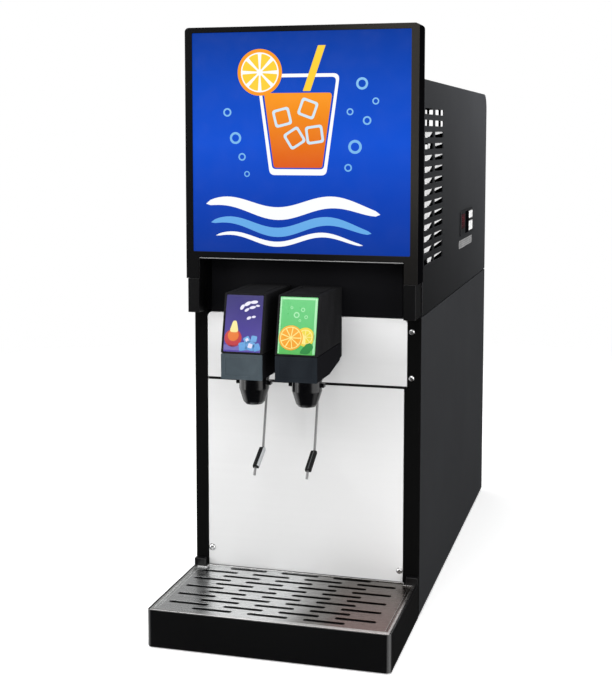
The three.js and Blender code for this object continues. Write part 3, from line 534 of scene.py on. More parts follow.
def splash_steel():
    """Fine-grained steel with painted light: a little brighter towards the foot and under the valve bay."""
    look = sheet_steel("splash_steel", "stainless", grey(0.68), 0.5, ALONG_X, 0.02, 0.25)
    # painted light: brighter towards the foot on the right, and in a band under the valve bay
    foot = look.ranged(look.axis("Z"), 0.04, 0.26, 0.75, 0.0)
    right = look.ranged(look.axis("X"), ORIGIN.x - 0.05, ORIGIN.x + 0.12)
    bright = look.mixed(look.times(foot, right), look.tone(), grey(0.84))
    top = look.ranged(look.axis("Z"), 0.3, 0.36, smooth=True)
    look.colour(look.mixed(top, bright, grey(0.86)))
    return look


def bezel_paint():
    """Satin black with a painted reflection that turns it to a warm dark grey towards the right-hand side.
    """
    look = powder_coat("bezel_black", "black_steel", srgb(5, 5, 6), srgb(7, 7, 8), 0.5, 0.08)
    # painted reflection: warm dark grey towards the right and the top
    side = look.ranged(look.axis("X"), -0.02, 0.125, smooth=True)
    height = look.ranged(look.axis("Z"), 0.41, 0.55, 0.25, 1.0, True)
    look.colour(look.mixed(look.times(side, height), look.tone(), srgb(40, 38, 35)))
    return look


def grille_metal():
    """Mill-finish steel, cooler and brighter on the left and darker brown towards the right as a painted
    reflection, reddish towards the front on the right.
    """
    low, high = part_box("drip_grille")
    look = sheet_steel("grille_steel", "stainless", (0.70, 0.71, 0.71, 1), 0.26, ALONG_X, relief=0.08)
    drift = look.ranged(look.noise(0.09, 2.0, (1.0, 0.25, 1.0)), 0.3, 0.7, -0.035, 0.035)
    place = look.maths("ADD", look.axis("X"), drift)
    # painted reflection: darker brown towards the right
    side = look.ranged(place, -0.02, 0.085, smooth=True)
    painted_reflection_and_tint = look.mixed(side, look.tone(), (0.085, 0.076, 0.066, 1.0))
    front = look.ranged(look.axis("Y"), low.y, high.y, 1.0, 0.0)
    blush = look.times(front, look.ranged(place, 0.06, 0.1, 0.0, 0.7, True))
    painted_reflection_and_tint = look.mixed(blush, painted_reflection_and_tint, (0.17, 0.085, 0.075, 1.0))
    # painted highlight along the top of the raised rim
    rim = look.ranged(look.axis("Z"), high.z - 0.0009, high.z - 0.0005)
    look.colour(look.mixed(look.times(rim, 0.62), painted_reflection_and_tint, (0.62, 0.61, 0.60, 1.0)))
    return look


# Every look has a name and the record's slot, then what its maker asks for. Display values are 0 to 255.
PAINTS = (
    ("panel_black", "black_steel", (30, 31, 33), (33, 34, 36), 0.42, 0.30),
    ("housing_black", "black_steel", (4, 4, 5), (6, 6, 7), 0.32, 0.5),
    ("sign_black", "black_steel", (5, 5, 6), (7, 7, 8), 0.8, 0.0),
    ("bay_grey", "grey_steel", (9, 9, 12), (12, 12, 15), 0.5, 0.1),
    ("grey_enamel", "grey_steel", (52, 56, 60), (64, 68, 73), 0.45, 0.5),
)
STEELS = (
    ("rod_steel", "stainless", grey(0.17), 0.4, (1.0, 1.0, 0.05)),
    ("lip_steel", "stainless", grey(0.36), 0.4, (0.05, 1.0, 1.0)),
    ("tank_steel", "stainless", grey(0.70), 0.32, (1.0, 1.0, 0.03)),
    ("screw_steel", "stainless", grey(0.72), 0.25, (1.0, 1.0, 1.0)),
    ("zinc", "zinc_steel", (0.52, 0.54, 0.56, 1), 0.42, (1.0, 1.0, 1.0), 0.25),
    ("fins", "fin_aluminium", (0.66, 0.67, 0.68, 1), 0.4, (1.0, 1.0, 0.05)),
    ("copper", "copper", (0.72, 0.36, 0.20, 1), 0.3, (1.0, 1.0, 0.1), 0.3),
)
PLASTICS = (
    ("cover_black", "black_plastic", (25, 25, 26), (31, 31, 32), 0.45, 0.0005, 0.00003, 0.0),
    ("nozzle_black", "black_plastic", (5, 5, 7), (8, 8, 10), 0.16, 0.002, 0.00001),
    ("grey_plastic", "grey_plastic", (78, 82, 86), (98, 102, 106), 0.5),
    ("rubber", "rubber", (9, 9, 9), (14, 14, 14), 0.75, 0.0007, 0.00006, 0.2),
    ("pad_grey", "rubber", (150, 152, 154), (178, 180, 182), 0.6),
    ("pad_dark_grey", "rubber", (70, 71, 72), (88, 89, 90), 0.6),
    ("foam", "foam", (206, 202, 184), (232, 228, 212), 0.9, 0.003, 0.0004, 0.2),
    ("light_board", "light_board", (228, 229, 226), (242, 243, 240), 0.45),
    ("key_white", "key_white", (236, 236, 236), (248, 248, 248), 0.4),
    ("blade_white", "fin_aluminium", (214, 214, 214), (232, 232, 232), 0.5),
    ("label_grey", "key_white", (128, 128, 128), (150, 150, 150), 0.5),
    ("label_mark", "grey_plastic", (92, 92, 94), (108, 108, 110), 0.5),
)
DISPLAY, CARDS = (0.44, 0.47), (0.333, 0.394)
SIGN = [corner.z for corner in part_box("sign_panel")]
DRINK = (SIGN[0] + 0.09, SIGN[0] + 0.2)
PRINTS = (
    ("display", "display", DISPLAY, [(40, 6, 12), (66, 12, 24)], 0.9, 0.15),
    ("digits", "display", DISPLAY, [(88, 12, 22), (112, 20, 30)], 0.9),
    ("sign_blue", "sign_face", SIGN,
     [(14, 56, 155), (15, 66, 182), (18, 81, 210), (16, 74, 192), (8, 58, 155)], 0.95, 0.2),
    ("sign_white", "sign_face", SIGN, [(250, 252, 255), (255, 255, 255)], 0.95),
    ("sign_sky", "sign_face", SIGN, [(96, 170, 236), (150, 208, 248)], 0.9),
    ("sign_ice", "sign_face", SIGN, [(190, 226, 248), (226, 242, 252)], 0.9),
    ("sign_amber", "sign_face", DRINK, [(216, 74, 10), (255, 160, 24)], 0.95),
    ("sign_yellow", "sign_face", SIGN, [(252, 190, 30), (255, 214, 60)], 0.95),
)
INKS = {
    "card_violet": {
        "card_violet": [(86, 72, 158), (70, 58, 142), (56, 46, 124), (48, 42, 108)],
        "print_white": [(216, 212, 236), (232, 230, 246)],
        "print_lilac": [(112, 104, 170), (128, 120, 186)],
        "print_red": [(176, 48, 62), (214, 84, 66)],
        "print_ice": [(92, 150, 208), (150, 200, 236)],
        "print_ember": [(214, 104, 44), (240, 150, 70)],
        "print_glow": [(236, 214, 130), (250, 238, 176)],
    },
    "card_green": {
        "card_green": [(84, 176, 84), (92, 190, 106), (98, 194, 118), (106, 200, 124)],
        "print_orange": [(236, 160, 40), (246, 190, 60)],
        "print_deep_orange": [(232, 150, 36), (244, 180, 52)],
        "print_yellow": [(222, 200, 60), (240, 218, 80)],
        "print_cream": [(238, 222, 130), (248, 236, 160)],
        "print_mint": [(150, 220, 160), (172, 232, 180)],
        "print_leaf": [(36, 128, 58), (60, 156, 78)],
    },
}


def all_looks():
    """Every look by its name."""
    looks = [
        side_paint("side_grey", "side_panel_right", (0.75, 0.9, 1.0, 1.1, 1.25), RIGHT_SIDE[0].y + 0.0014),
        side_paint("hood_grey", "hood_cover", (0.25, 0.6, 1.15, 1.8, 2.5)),
        bezel_paint(),
        splash_steel(),
        tray_paint(),
        grille_metal(),
        block_paint("block_grey", srgb(54, 62, 67), srgb(66, 74, 79)),
        block_paint("block_black", srgb(25, 28, 32), srgb(31, 35, 39)),
    ]
    for name, slot, dark, light, *rest in PAINTS:
        looks.append(powder_coat(name, slot, srgb(*dark), srgb(*light), *rest))
    for settings in STEELS:
        looks.append(sheet_steel(*settings))
    for name, slot, dark, light, *rest in PLASTICS:
        looks.append(moulded(name, slot, srgb(*dark), srgb(*light), *rest))
    for settings in PRINTS:
        looks.append(printed(*settings))
    for slot, inks in INKS.items():
        looks += [printed(name, slot, CARDS, colours) for name, colours in inks.items()]
    return {look.name: look for look in looks}


LOOKS = all_looks()


# ---------------------------------------------------------------- pieces
def shaded(mesh):
    """Smooth shading, with the sharp edges kept."""
    mesh.shade_smooth()
    mesh.set_sharp_from_angle(angle=math.radians(32))


def piece(name, solid, look, body="housing", stands_for=()):
    """Names a finished solid, puts it into the frame, paints it and hangs it on its body."""
    solid.name = name
    solid.data.name = name
    solid.data.transform(Matrix.Translation(ORIGIN) @ Matrix.Scale(MM, 4))
    solid.data.materials.clear()
    solid.data.materials.append(LOOKS[look].material)
    shaded(solid.data)
    weighted = solid.modifiers.new("normals", "WEIGHTED_NORMAL")
    weighted.keep_sharp = True
    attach(solid, body)
    if stands_for:
        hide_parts(*stands_for)


def dressed(node, look, edge=0.4, rings=2, flatten=True):
    """A CAD node kept as it is, with rounded edges and a finished surface. flatten joins the flat
    faces first, which a ring-shaped face doesn't stand."""
    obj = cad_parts[node]
    obj.data.materials.clear()
    obj.data.materials.append(LOOKS[look].material)
    shaded(obj.data)
    weld = obj.modifiers.new("weld", "WELD")
    weld.merge_threshold = 0.00001
    if flatten:
        flat = obj.modifiers.new("flat", "DECIMATE")
        flat.decimate_type = "DISSOLVE"
        flat.angle_limit = math.radians(1.0)
    if edge:
        bevel = obj.modifiers.new("edges", "BEVEL")
        bevel.width = edge * MM
        bevel.segments = rings
        bevel.limit_method = "ANGLE"
        bevel.angle_limit = math.radians(40)
    normals = obj.modifiers.new("normals", "WEIGHTED_NORMAL")
    normals.keep_sharp = True


def screw(name, centre, facing, radius=3.6, look="screw_steel", washer=0.0):
    """Pan-head screw with a cross recess; facing is the direction that its head points in."""
    height = radius * 0.62
    rim, crown = height * 0.3, height * 0.7
    dome = [math.radians(angle) for angle in range(15, 90, 15)]
    profile = [(0, -0.2), (radius, -0.2), (radius, rim)]
    profile += [(radius * math.cos(a), rim + crown * math.sin(a)) for a in dome]
    head = lathe([*profile, (0, height)], (0, 0, 0), sides=32)
    arm, half_width = radius * 0.55, radius * 0.11
    for angle in (18, 108):
        bar = block((-arm, -half_width, height * 0.45), (arm, half_width, height + 1), 0)
        head = cut(head, moved(bar, Matrix.Rotation(math.radians(angle), 4, "Z")))
    if washer:
        ring = slab(circle(0, 0, washer, 40), -0.3, 0.5, "Z", [circle(0, 0, radius * 0.7, 24)], 0.2)
        head = joined(head, ring)
    turn = Vector((0, 0, 1)).rotation_difference(Vector(facing)).to_matrix().to_4x4()
    piece(name, moved(head, Matrix.Translation(centre) @ turn), look)


# ---- chassis
def chassis():
    dressed("side_panel_left", "side_grey", 0.7, 3)
    dressed("side_panel_right", "side_grey", 0.7, 3)
    dressed("base_pan", "zinc")
    dressed("deck_plate", "zinc", 0.3)
    rear_panel()
    for corner in ("front_left", "front_right", "rear_left", "rear_right"):
        rubber_foot(corner)


def rear_panel():
    """Sheet with a bay for the hose barbs, in a rubber rim, and an opening for the mains inlet."""
    low, high = span("rear_panel")
    hose_bay, flange, edge_in = (-60, 60, 60, 120), 5, 8
    holes = [framed(hose_bay, 0, 5), framed(extent("mains_inlet"), -flange, 1.0)]
    plate = slab(framed(extent("rear_panel"), 0, 1.5), low.y, high.y, "Y", holes, 0.35)
    piece("rear_panel_sheet", plate, "panel_black", stands_for=["rear_panel"])
    rim_hole = framed(hose_bay, -1, 4.5)
    rim = slab(framed(hose_bay, 2, 7), high.y - 0.1, high.y + 1.1, "Y", [rim_hole], 0.5)
    piece("hose_bay_grommet", rim, "rubber")
    screw_heights = (20, 130, 240, 345)
    places = [(x, z) for x in (low.x + edge_in, high.x - edge_in) for z in screw_heights]
    for i, (x, z) in enumerate(places):
        screw(f"rear_panel_screw_{i}", (x, high.y, z), (0, 1, 0), 3.2)


def rubber_foot(corner):
    node = f"rubber_foot_{corner}"
    low, high = span(node)
    middle = (low + high) / 2
    radius, height, taper = (high.x - low.x) / 2, 3.0, 1.6
    profile = filleted([(0, 0.0), (radius - taper, 0.0), (radius, height), (0, height)], 0.6, 4)
    piece(f"foot_{corner}", lathe(profile, (middle.x, middle.y, 0)), "rubber", stands_for=[node])


# ---- hood
VENT_ROWS, VENT_TOP, VENT_PITCH, VENT_HEIGHT = 14, 601.5, 13.65, 7.0
VENT_COLUMNS = ((14, 75), (85, 149))
HOOD_SHEET, HOOD_CORNER, PAST = 1.5, 25, 1.0


def hood_profile(inset):
    """Side view of the hood. With an inset it is the hollow, which runs out at the front and the foot."""
    low, high = span("hood_cover")
    past = PAST if inset else 0
    front, foot = low.y - past, low.z - past
    back, top, radius = high.y - inset, high.z - inset, HOOD_CORNER - inset
    return [(front, foot), (back, foot), *arc(back - radius, top - radius, radius, 0, 90, 14), (front, top)]


def hood():
    low, high = span("hood_cover")
    shell = slab(hood_profile(0), low.x, high.x, "X", edge=1.3, rings=3)
    cavity = slab(hood_profile(HOOD_SHEET), low.x + HOOD_SHEET, high.x - HOOD_SHEET, "X", edge=0.4)
    slots = []
    for row in range(VENT_ROWS):
        z = VENT_TOP - row * VENT_PITCH
        for y0, y1 in VENT_COLUMNS:
            outline = centred((y0 + y1) / 2, z, y1 - y0, VENT_HEIGHT, 1.8, 4)
            slots.append(slab(outline, low.x - PAST, high.x + PAST, "X"))
    grille_low, grille_high = span("rear_grille")
    lap, lintel = 6, 1.2
    rear_hole = rounded(
        grille_low.x + lap, grille_high.x - lap, grille_low.z + lap, grille_high.z - lintel, 3)
    rear = slab(rear_hole, high.y - HOOD_SHEET - PAST, high.y + PAST, "Y")
    y0, y1, z0, z1 = extent("controller_housing", "X")
    side_hole = rounded(y0 + 4, y1 - 4, z0 + 3, z1 - 3, 1)
    side = slab(side_hole, high.x - HOOD_SHEET - PAST, high.x + PAST, "X")
    shell = cut(shell, cavity, joined(*slots), rear, side)
    piece("hood_shell", softened(shell, 0.3), "hood_grey", stands_for=["hood_cover"])
    screw_y, screw_heights = 560, (372, 560)
    for i, z in enumerate(screw_heights):
        screw(f"hood_screw_left_{i}", (low.x, screw_y, z), (-1, 0, 0), 3.0, look="housing_black")


def vent_painted_light_sheets():
    """Side views of the pale sheets in the slots, painted light that stands in for the light seen through
    them: a long one behind and a short one in front, from the third row down."""
    short_ones = {3: (46, 60), 13: (48, 80)}
    outlines = []
    for row in range(2, VENT_ROWS):
        top = VENT_TOP - row * VENT_PITCH + 3.6
        outlines.append([(88, top), (160, top), (160, top - 0.8), (100, top - 3.7), (88, top - 3.7)])
        start, end = short_ones.get(row, (22, 74))
        foot = start + (end - start) * 0.6
        outlines.append([(start, top - 0.6), (end, top - 0.6), (foot, top - 6.4), (start, top - 6.4)])
    return outlines


def vent_painted_shade_and_light():
    """Inside each side of the hood: a black sheet behind the slots as painted shade, and pale sheets in them
    as painted light.
    """
    low, high = span("hood_cover")
    bottom, top, back = 415, 582, 214
    for word, sign, wall in (("left", -1, low.x), ("right", 1, high.x)):
        skin = wall - sign * 1.6
        near, far = sorted((wall - sign * 9, wall - sign * 8))
        plate = slab(rounded(131, back, bottom, top, 2), near, far, "X", edge=0.3)
        flange = block((min(near, skin), back - 1, bottom), (max(far, skin), back + 0.2, top), 0.2)
        piece(f"vent_painted_shade_sheet_{word}", joined(plate, flange), "sign_black")
        near, far = sorted((wall - sign * 2.2, skin))
        painted_light_sheets = [slab(outline, near, far, "X", edge=0.1) for outline in vent_painted_light_sheets()]
        piece(f"vent_painted_light_sheets_{word}", joined(*painted_light_sheets), "blade_white")


def rear_grille():
    low, high = span("rear_grille")
    rows, first_row, pitch, height = 11, 387.1, 18.45, 12.5
    columns = ((-85.75, 56.5), (0, 93), (85.75, 56.5))
    top_slots, top_pitch, top_width, top_height, top_z = 11, 18.7, 15, 28.7, 600.35
    holes = []
    for row in range(rows):
        z = first_row + row * pitch
        holes += [centred(x, z, width, height, 1.5, 4) for x, width in columns]
    for slot in range(top_slots):
        x = (slot - (top_slots - 1) / 2) * top_pitch
        holes.append(centred(x, top_z, top_width, top_height, 1.5, 4))
    plate = slab(framed(extent("rear_grille"), 0, 1.0), low.y, high.y, "Y", holes, 0.35)
    piece("rear_grille_sheet", plate, "panel_black", stands_for=["rear_grille"])


# ---- header
def header():
    low, high = span("sign_bezel")
    lip, bay, corner = 428.3, 124, 5
    outline = [
        (low.x, low.z), (-bay, low.z), (-bay, lip), (bay, lip), (bay, low.z), (high.x, low.z),
        *arc(high.x - corner, high.z - corner, corner, 0, 90, 8),
        *arc(low.x + corner, high.z - corner, corner, 90, 180, 8),
    ]
    window = rounded(-131, 131, 435.6, 692.5, 1.2)
    bezel = slab(outline, low.y, high.y, "Y", [window], 0.55, 3)
    piece("sign_bezel_frame", bezel, "bezel_black", stands_for=["sign_bezel"])
    dressed("sign_housing", "sign_black", 0.6, flatten=False)
    dressed("sign_panel", "sign_blue", 0.3)
    dressed("sign_light_board", "light_board", 0.3)
    dressed("valve_apron", "housing_black", 0.4)
    dressed("valve_plate", "bay_grey", 0.4)
    # painted shade: dark strips in the corners of the valve bay, where there is only shade
    shade_strip_width, shade_strip_foot = 10, 363
    for word, x in (("left", -bay - 3), ("right", bay + 3 - shade_strip_width)):
        shade_strip = block((x, 2.2, shade_strip_foot), (x + shade_strip_width, 3.4, lip - 2), 0.3)
        piece(f"bay_corner_shade_strip_{word}", shade_strip, "sign_black")
    trim = block((-bay + 0.5, low.y - 0.1, lip - 1.3), (bay - 0.5, low.y + 1.4, lip - 0.1), 0.45, 3)
    piece("bay_lip_trim", trim, "lip_steel")

def inlay(name, outline, look, holes=(), level=0):
    """Flat artwork on the face of the lit panel; each level lies a little prouder."""
    face = span("sign_panel")[0].y
    thick = 0.09
    solid = slab(outline, face - thick * (level + 1), face - thick * level + 0.01, "Y", holes)
    piece(name, solid, look)


TUMBLER_X, TUMBLER_BASE, TUMBLER_TOP = -2, 527, 644
TUMBLER_FOOT, TUMBLER_RIM, TUMBLER_WALL = 34, 50, 4
DRINK_TOP = TUMBLER_TOP - 22


def tumbler_half(z, inset):
    """Half the tumbler's width at height z, less inset."""
    rise = (z - TUMBLER_BASE) / (TUMBLER_TOP - TUMBLER_BASE)
    return TUMBLER_FOOT + (TUMBLER_RIM - TUMBLER_FOOT) * rise - inset


def tapered(low_half, low_z, high_half, high_z, corner):
    """Round-cornered outline about the tumbler's middle, from one width and height to another."""
    u = TUMBLER_X
    points = [(u - low_half, low_z), (u + low_half, low_z), (u + high_half, high_z), (u - high_half, high_z)]
    return filleted(points, corner, 6, True)


def art_tumbler():
    outer = tapered(TUMBLER_FOOT, TUMBLER_BASE, TUMBLER_RIM, TUMBLER_TOP, 7)
    floor = TUMBLER_BASE + 7
    inner = tapered(
        tumbler_half(floor, TUMBLER_WALL), floor,
        TUMBLER_RIM - TUMBLER_WALL, TUMBLER_TOP - TUMBLER_WALL, 5)
    inlay("art_glass", outer, "sign_white", [inner])
    bottom, inset = TUMBLER_BASE + 8.5, TUMBLER_WALL + 2
    drink = tapered(tumbler_half(bottom, inset), bottom, tumbler_half(DRINK_TOP, inset), DRINK_TOP, 4)
    inlay("art_drink", drink, "sign_amber")


def art_ice():
    size, hollow = 21, 15
    for i, (du, z, turn) in enumerate(((-19, 594, 14), (12, 604, -20), (-4, 570, 32), (20, 574, 8))):
        u = TUMBLER_X + du
        cube = turned_about(centred(u, z, size, size, 3.5), turn, u, z)
        hole = turned_about(centred(u, z, hollow, hollow, 2), turn, u, z)
        inlay(f"art_ice_{i}", cube, "sign_ice", [hole], 1)


def art_straw():
    u, foot, top, width, slant = TUMBLER_X + 6, DRINK_TOP + 2, TUMBLER_TOP + 32, 9, 18
    straw = [(u, foot), (u + width, foot), (u + slant + width, top), (u + slant, top)]
    inlay("art_straw", straw, "sign_yellow", level=1)


def art_citrus():
    u, v, radius, rind = TUMBLER_X - 46, TUMBLER_TOP + 2, 27, 4
    inner = circle(u, v, radius - rind, 48)
    inlay("art_citrus_rind", circle(u, v, radius, 48), "sign_amber", [inner], 1)
    inlay("art_citrus_pith", inner, "sign_white", level=1)
    shrink, push = 0.94, 2.2
    for i in range(8):
        start = i * 45 + 4
        aim = math.radians(start + 18.5)
        wedge = [(u, v), *arc(u, v, radius - 6.5, start, start + 37, 6)]
        shrunk = [
            (u + (a - u) * shrink + push * math.cos(aim), v + (b - v) * shrink + push * math.sin(aim))
            for a, b in wedge
        ]
        inlay(f"art_citrus_segment_{i}", filleted(shrunk, 0.8, 2, True), "sign_yellow", level=2)


def art_bubbles():
    bubbles = (
        (-78, 570, 7), (-70, 548, 4.5), (-88, 600, 5), (66, 560, 8), (80, 590, 5),
        (60, 600, 4), (74, 632, 7), (90, 612, 4), (-64, 528, 3.5), (58, 536, 4.5),
    )
    for i, (u, v, radius) in enumerate(bubbles):
        hole = circle(u, v, radius * 0.62, 24)
        inlay(f"art_bubble_{i}", circle(u, v, radius, 28), "sign_sky", [hole])


def art_waves():
    """Three wave bands, each shorter than the one above it and pointed at both ends."""
    steps = 40
    bands = ((489, 7, 15, "sign_white"), (467, 7, 11, "sign_sky"), (452, 6, 6, "sign_white"))
    for i, (v, swing, thick, look) in enumerate(bands):
        left, right = -115 + i * 6, 96 - i * 10

        def wave(t, up):
            middle = v + swing * math.sin(2 * math.pi * (t * 1.6 + 0.08))
            taper = math.sin(math.pi * t) ** 0.35 if 0 < t < 1 else 0
            return (left + (right - left) * t, middle + up * taper * thick / 2)

        crest = [wave(k / steps, 1) for k in range(1, steps)]
        trough = [wave(k / steps, -1) for k in range(steps - 1, 0, -1)]
        inlay(f"art_wave_{i}", [wave(0, 0), *crest, wave(1, 0), *trough], look)


def sign_art():
    """A tumbler with ice, a straw and a citrus slice, among bubbles and over wave bands."""
    art_tumbler()
    art_ice()
    art_straw()
    art_citrus()
    art_bubbles()
    art_waves()


# ---- front panels
def splash():
    dressed("splash_panel_upper", "splash_steel", 0.45, 3)
    dressed("splash_panel_lower", "splash_steel", 0.45, 3)
    lower_low, lower_high = span("splash_panel_lower")
    upper_low, upper_high = span("splash_panel_upper")
    # painted shade: a dark strip in the seam stands in for the shadow in the gap between the panels
    seam = rounded(lower_low.x + 1, upper_high.x - 1, lower_high.z - 4, upper_low.z + 4, 0.8)
    strip = slab(seam, lower_high.y + 0.1, lower_high.y + 1.3, "Y", edge=0.2)
    piece("splash_seam_shade_strip", strip, "rubber")
    front, forward = lower_low.y, (0, -1, 0)
    screw("splash_screw_left", (lower_low.x + 4.2, front, 65.5), forward, 3.4, washer=4.4)
    screw("splash_screw_right", (lower_high.x - 3.9, front, 57), forward, 3.0, washer=3.8)
    screw("column_screw_upper", (129, 0, 344.5), forward, 3.3)
    screw("column_screw_lower", (129, 0, 289.6), forward, 3.3)


# ---- drip tray
def drip_tray():
    """Pan with a shelf for the grille, a well, a recess underneath and an ear at each rear end."""
    low, high = span("drip_tray")
    plan = extent("drip_tray", "Z")
    wall, ledge, corner, inner_corner = 1.5, 4, 6, 3.5
    top, shelf, well_top, well_floor, recess_top = 44.2, 41.2, 39.9, 7.5, 6
    ear_width, ear_depth = 13.5, 8.4
    body = slab(framed(plan, 0, [corner, corner, 0, 0], 12), low.z, top, "Z", edge=0.6, rings=3)
    recess = rounded(low.x + wall, high.x - wall, low.y + wall, high.y + 1, 2)
    body = cut(
        body,
        slab(framed(plan, -wall, [inner_corner, inner_corner, 0, 0], 8), shelf, top + 1, "Z"),
        slab(framed(plan, -wall - ledge, 3, 8), well_top - 0.9, top + 1, "Z"),
        slab(framed(plan, -wall, 2), well_floor, well_top, "Z", edge=0.8),
        slab(recess, 0, recess_top, "Z"),
    )
    for x in (low.x, high.x - ear_width):
        ear_low, ear_high = (x, high.y - ear_depth, shelf - 0.6), (x + ear_width, high.y, high.z)
        body = fused(body, block(ear_low, ear_high, 0.4, 3))
    piece("drip_tray_pan", softened(body, 0.3), "tray_black", "tray", ["drip_tray"])


def grille_slots():
    """Staggered rows of slots, three and four to a row."""
    rows, first_row, middle, pitch_x, pitch_y, length, width = 11, -8, -4.5, 65.0, 13.5, 46.5, 6.5
    slots = []
    for row in range(rows):
        count = 4 if row % 2 else 3
        y = first_row - row * pitch_y
        for i in range(count):
            x = middle + (i - (count - 1) / 2) * pitch_x
            slots.append(centred(x, y, length, width, 2.6, 5))
    return slots


def grille_outline(front, side, back):
    """The grille's outline, notched for the tray's ears and drawn in by those margins."""
    low, high = span("drip_grille")
    left, right = low.x + side, high.x - side
    notch_left, notch_right, notch = low.x + 11.7 + side, high.x - 11.7 - side, high.y - 6.4 - side
    return [
        (left, low.y + front), (right, low.y + front), (right, notch), (notch_right, notch),
        (notch_right, high.y - back), (notch_left, high.y - back), (notch_left, notch), (left, notch),
    ]


def drip_grille():
    low, high = span("drip_grille")
    field, front, side = low.z + 1.5, 6.0, 3.0
    plate = slab(grille_outline(0, 0, 0), low.z + 0.3, field, "Z", grille_slots(), 0.12)
    piece("drip_grille_plate", plate, "grille_steel", "grille", ["drip_grille"])
    inside = grille_outline(front, side, 1.5)
    raised = slab(grille_outline(0, 0, 0), low.z, high.z, "Z", [inside], 0.45, 3)
    piece("drip_grille_rim", raised, "grille_steel", "grille")
    width, rear = 1.2, high.y - 6.4 - side
    for word, x in (("left", low.x + side + 2.6), ("right", high.x - side - 2.6 - width)):
        bead = block((x, low.y + front, field - 0.3), (x + width, rear, field + 0.5), 0.35, 3)
        piece(f"drip_grille_bead_{word}", bead, "grille_steel", "grille")


# ---- valves
VALVE_FRONT, VALVE_BACK, VALVE_FOOT, VALVE_SPLIT, VALVE_TOP = -118.2, -12.5, 301.3, 330.5, 396.5
VALVE_HALF = 24.5
NOZZLE_Y, LEVER_Y, LEVER_Z = -71.0, -22.0, 318.0
CARD_LEAN = 16.2
LEAN = math.atan2(CARD_LEAN, VALVE_TOP - VALVE_SPLIT)
CARD_HALF, CARD_LOW, CARD_HIGH = 21.5, 2.2, 66.0


def on_front(x):
    """Turns (across, up, out) of the leaning front of the valve at x into the machine's axes."""
    turn = Matrix.Rotation(math.pi / 2 - LEAN, 4, "X")
    return Matrix.Translation((x, VALVE_FRONT, VALVE_SPLIT)) @ turn


def card_art(side, x, shapes):
    """shapes are (name, outline, look, level, holes) on the card's face."""
    thick = 0.06
    for name, outline, look, level, *holes in shapes:
        solid = slab(outline, level * thick - 0.01, (level + 1) * thick, "Z", holes)
        piece(f"card_{side}_{name}", moved(solid, on_front(x)), look, f"card_{side}")


def drop_shape(u, v, long, wide, tilt):
    """A slim oval, tilted by that many degrees."""
    angles = [math.radians(a) for a in range(0, 360, 15)]
    return turned_about([(u + long * math.cos(a), v + wide * math.sin(a)) for a in angles], tilt, u, v)


def violet_art():
    """A fan of drops over a glowing fruit and a heap of ice."""
    drops = (
        (-2.5, 52.5, 3.4, 1.9, 55), (3.5, 56.5, 4.2, 2.0, 30), (11, 58.5, 4.4, 1.8, 8),
        (3, 49.5, 3.0, 1.5, 35), (9.5, 52.5, 3.8, 1.6, 14), (15.5, 54.5, 2.4, 1.2, 0),
        (6, 40.5, 2.8, 1.6, 25), (11.5, 42, 2.4, 1.3, 8),
    )
    shapes = [(f"drop_{i}", drop_shape(*drop), "print_white", i % 2) for i, drop in enumerate(drops)]
    shapes += [
        ("fruit_glow", circle(-11, 17.5, 10, 36), "print_red", 0),
        ("fruit_heart", circle(-11, 20.5, 6.4, 30), "print_ember", 1),
        ("fruit_top", filleted([(-16, 24), (-5, 24), (-8, 37), (-12, 37)], 3, 4, True), "print_glow", 2),
        ("band", [(-21.2, 4), (21.2, 4), (21.2, 7.5), (-21.2, 10)], "print_lilac", 0),
    ]
    ice = (
        (1, 8.5, 9.2, 10), (9.5, 9.5, 10.0, -14), (17, 8, 8.0, 20),
        (5.5, 16, 7.2, 30), (13.5, 17.5, 6.8, -8),
    )
    for i, (u, v, size, turn) in enumerate(ice):
        cube = turned_about(centred(u, v, size, size, 1.3, 3), turn, u, v)
        core = turned_about(centred(u, v, size / 2, size / 2, 0.8, 3), turn, u, v)
        shapes.append((f"ice_{i}", cube, "print_ice", 2, core))
        shapes.append((f"ice_core_{i}", core, "print_white" if i % 2 else "print_ice", 1))
    return shapes


def segments(u, v, radius, count, sweep, aim, push, steps):
    """Wedges of a fruit cut across at (u, v), each with its point pushed out at aim degrees."""
    wedges = []
    for i in range(count):
        start = i * 360 / count + 3
        turn = math.radians(start + aim)
        point = (u + push * math.cos(turn), v + push * math.sin(turn))
        wedges.append([point, *arc(u, v, radius, start, start + sweep, steps)])
    return wedges


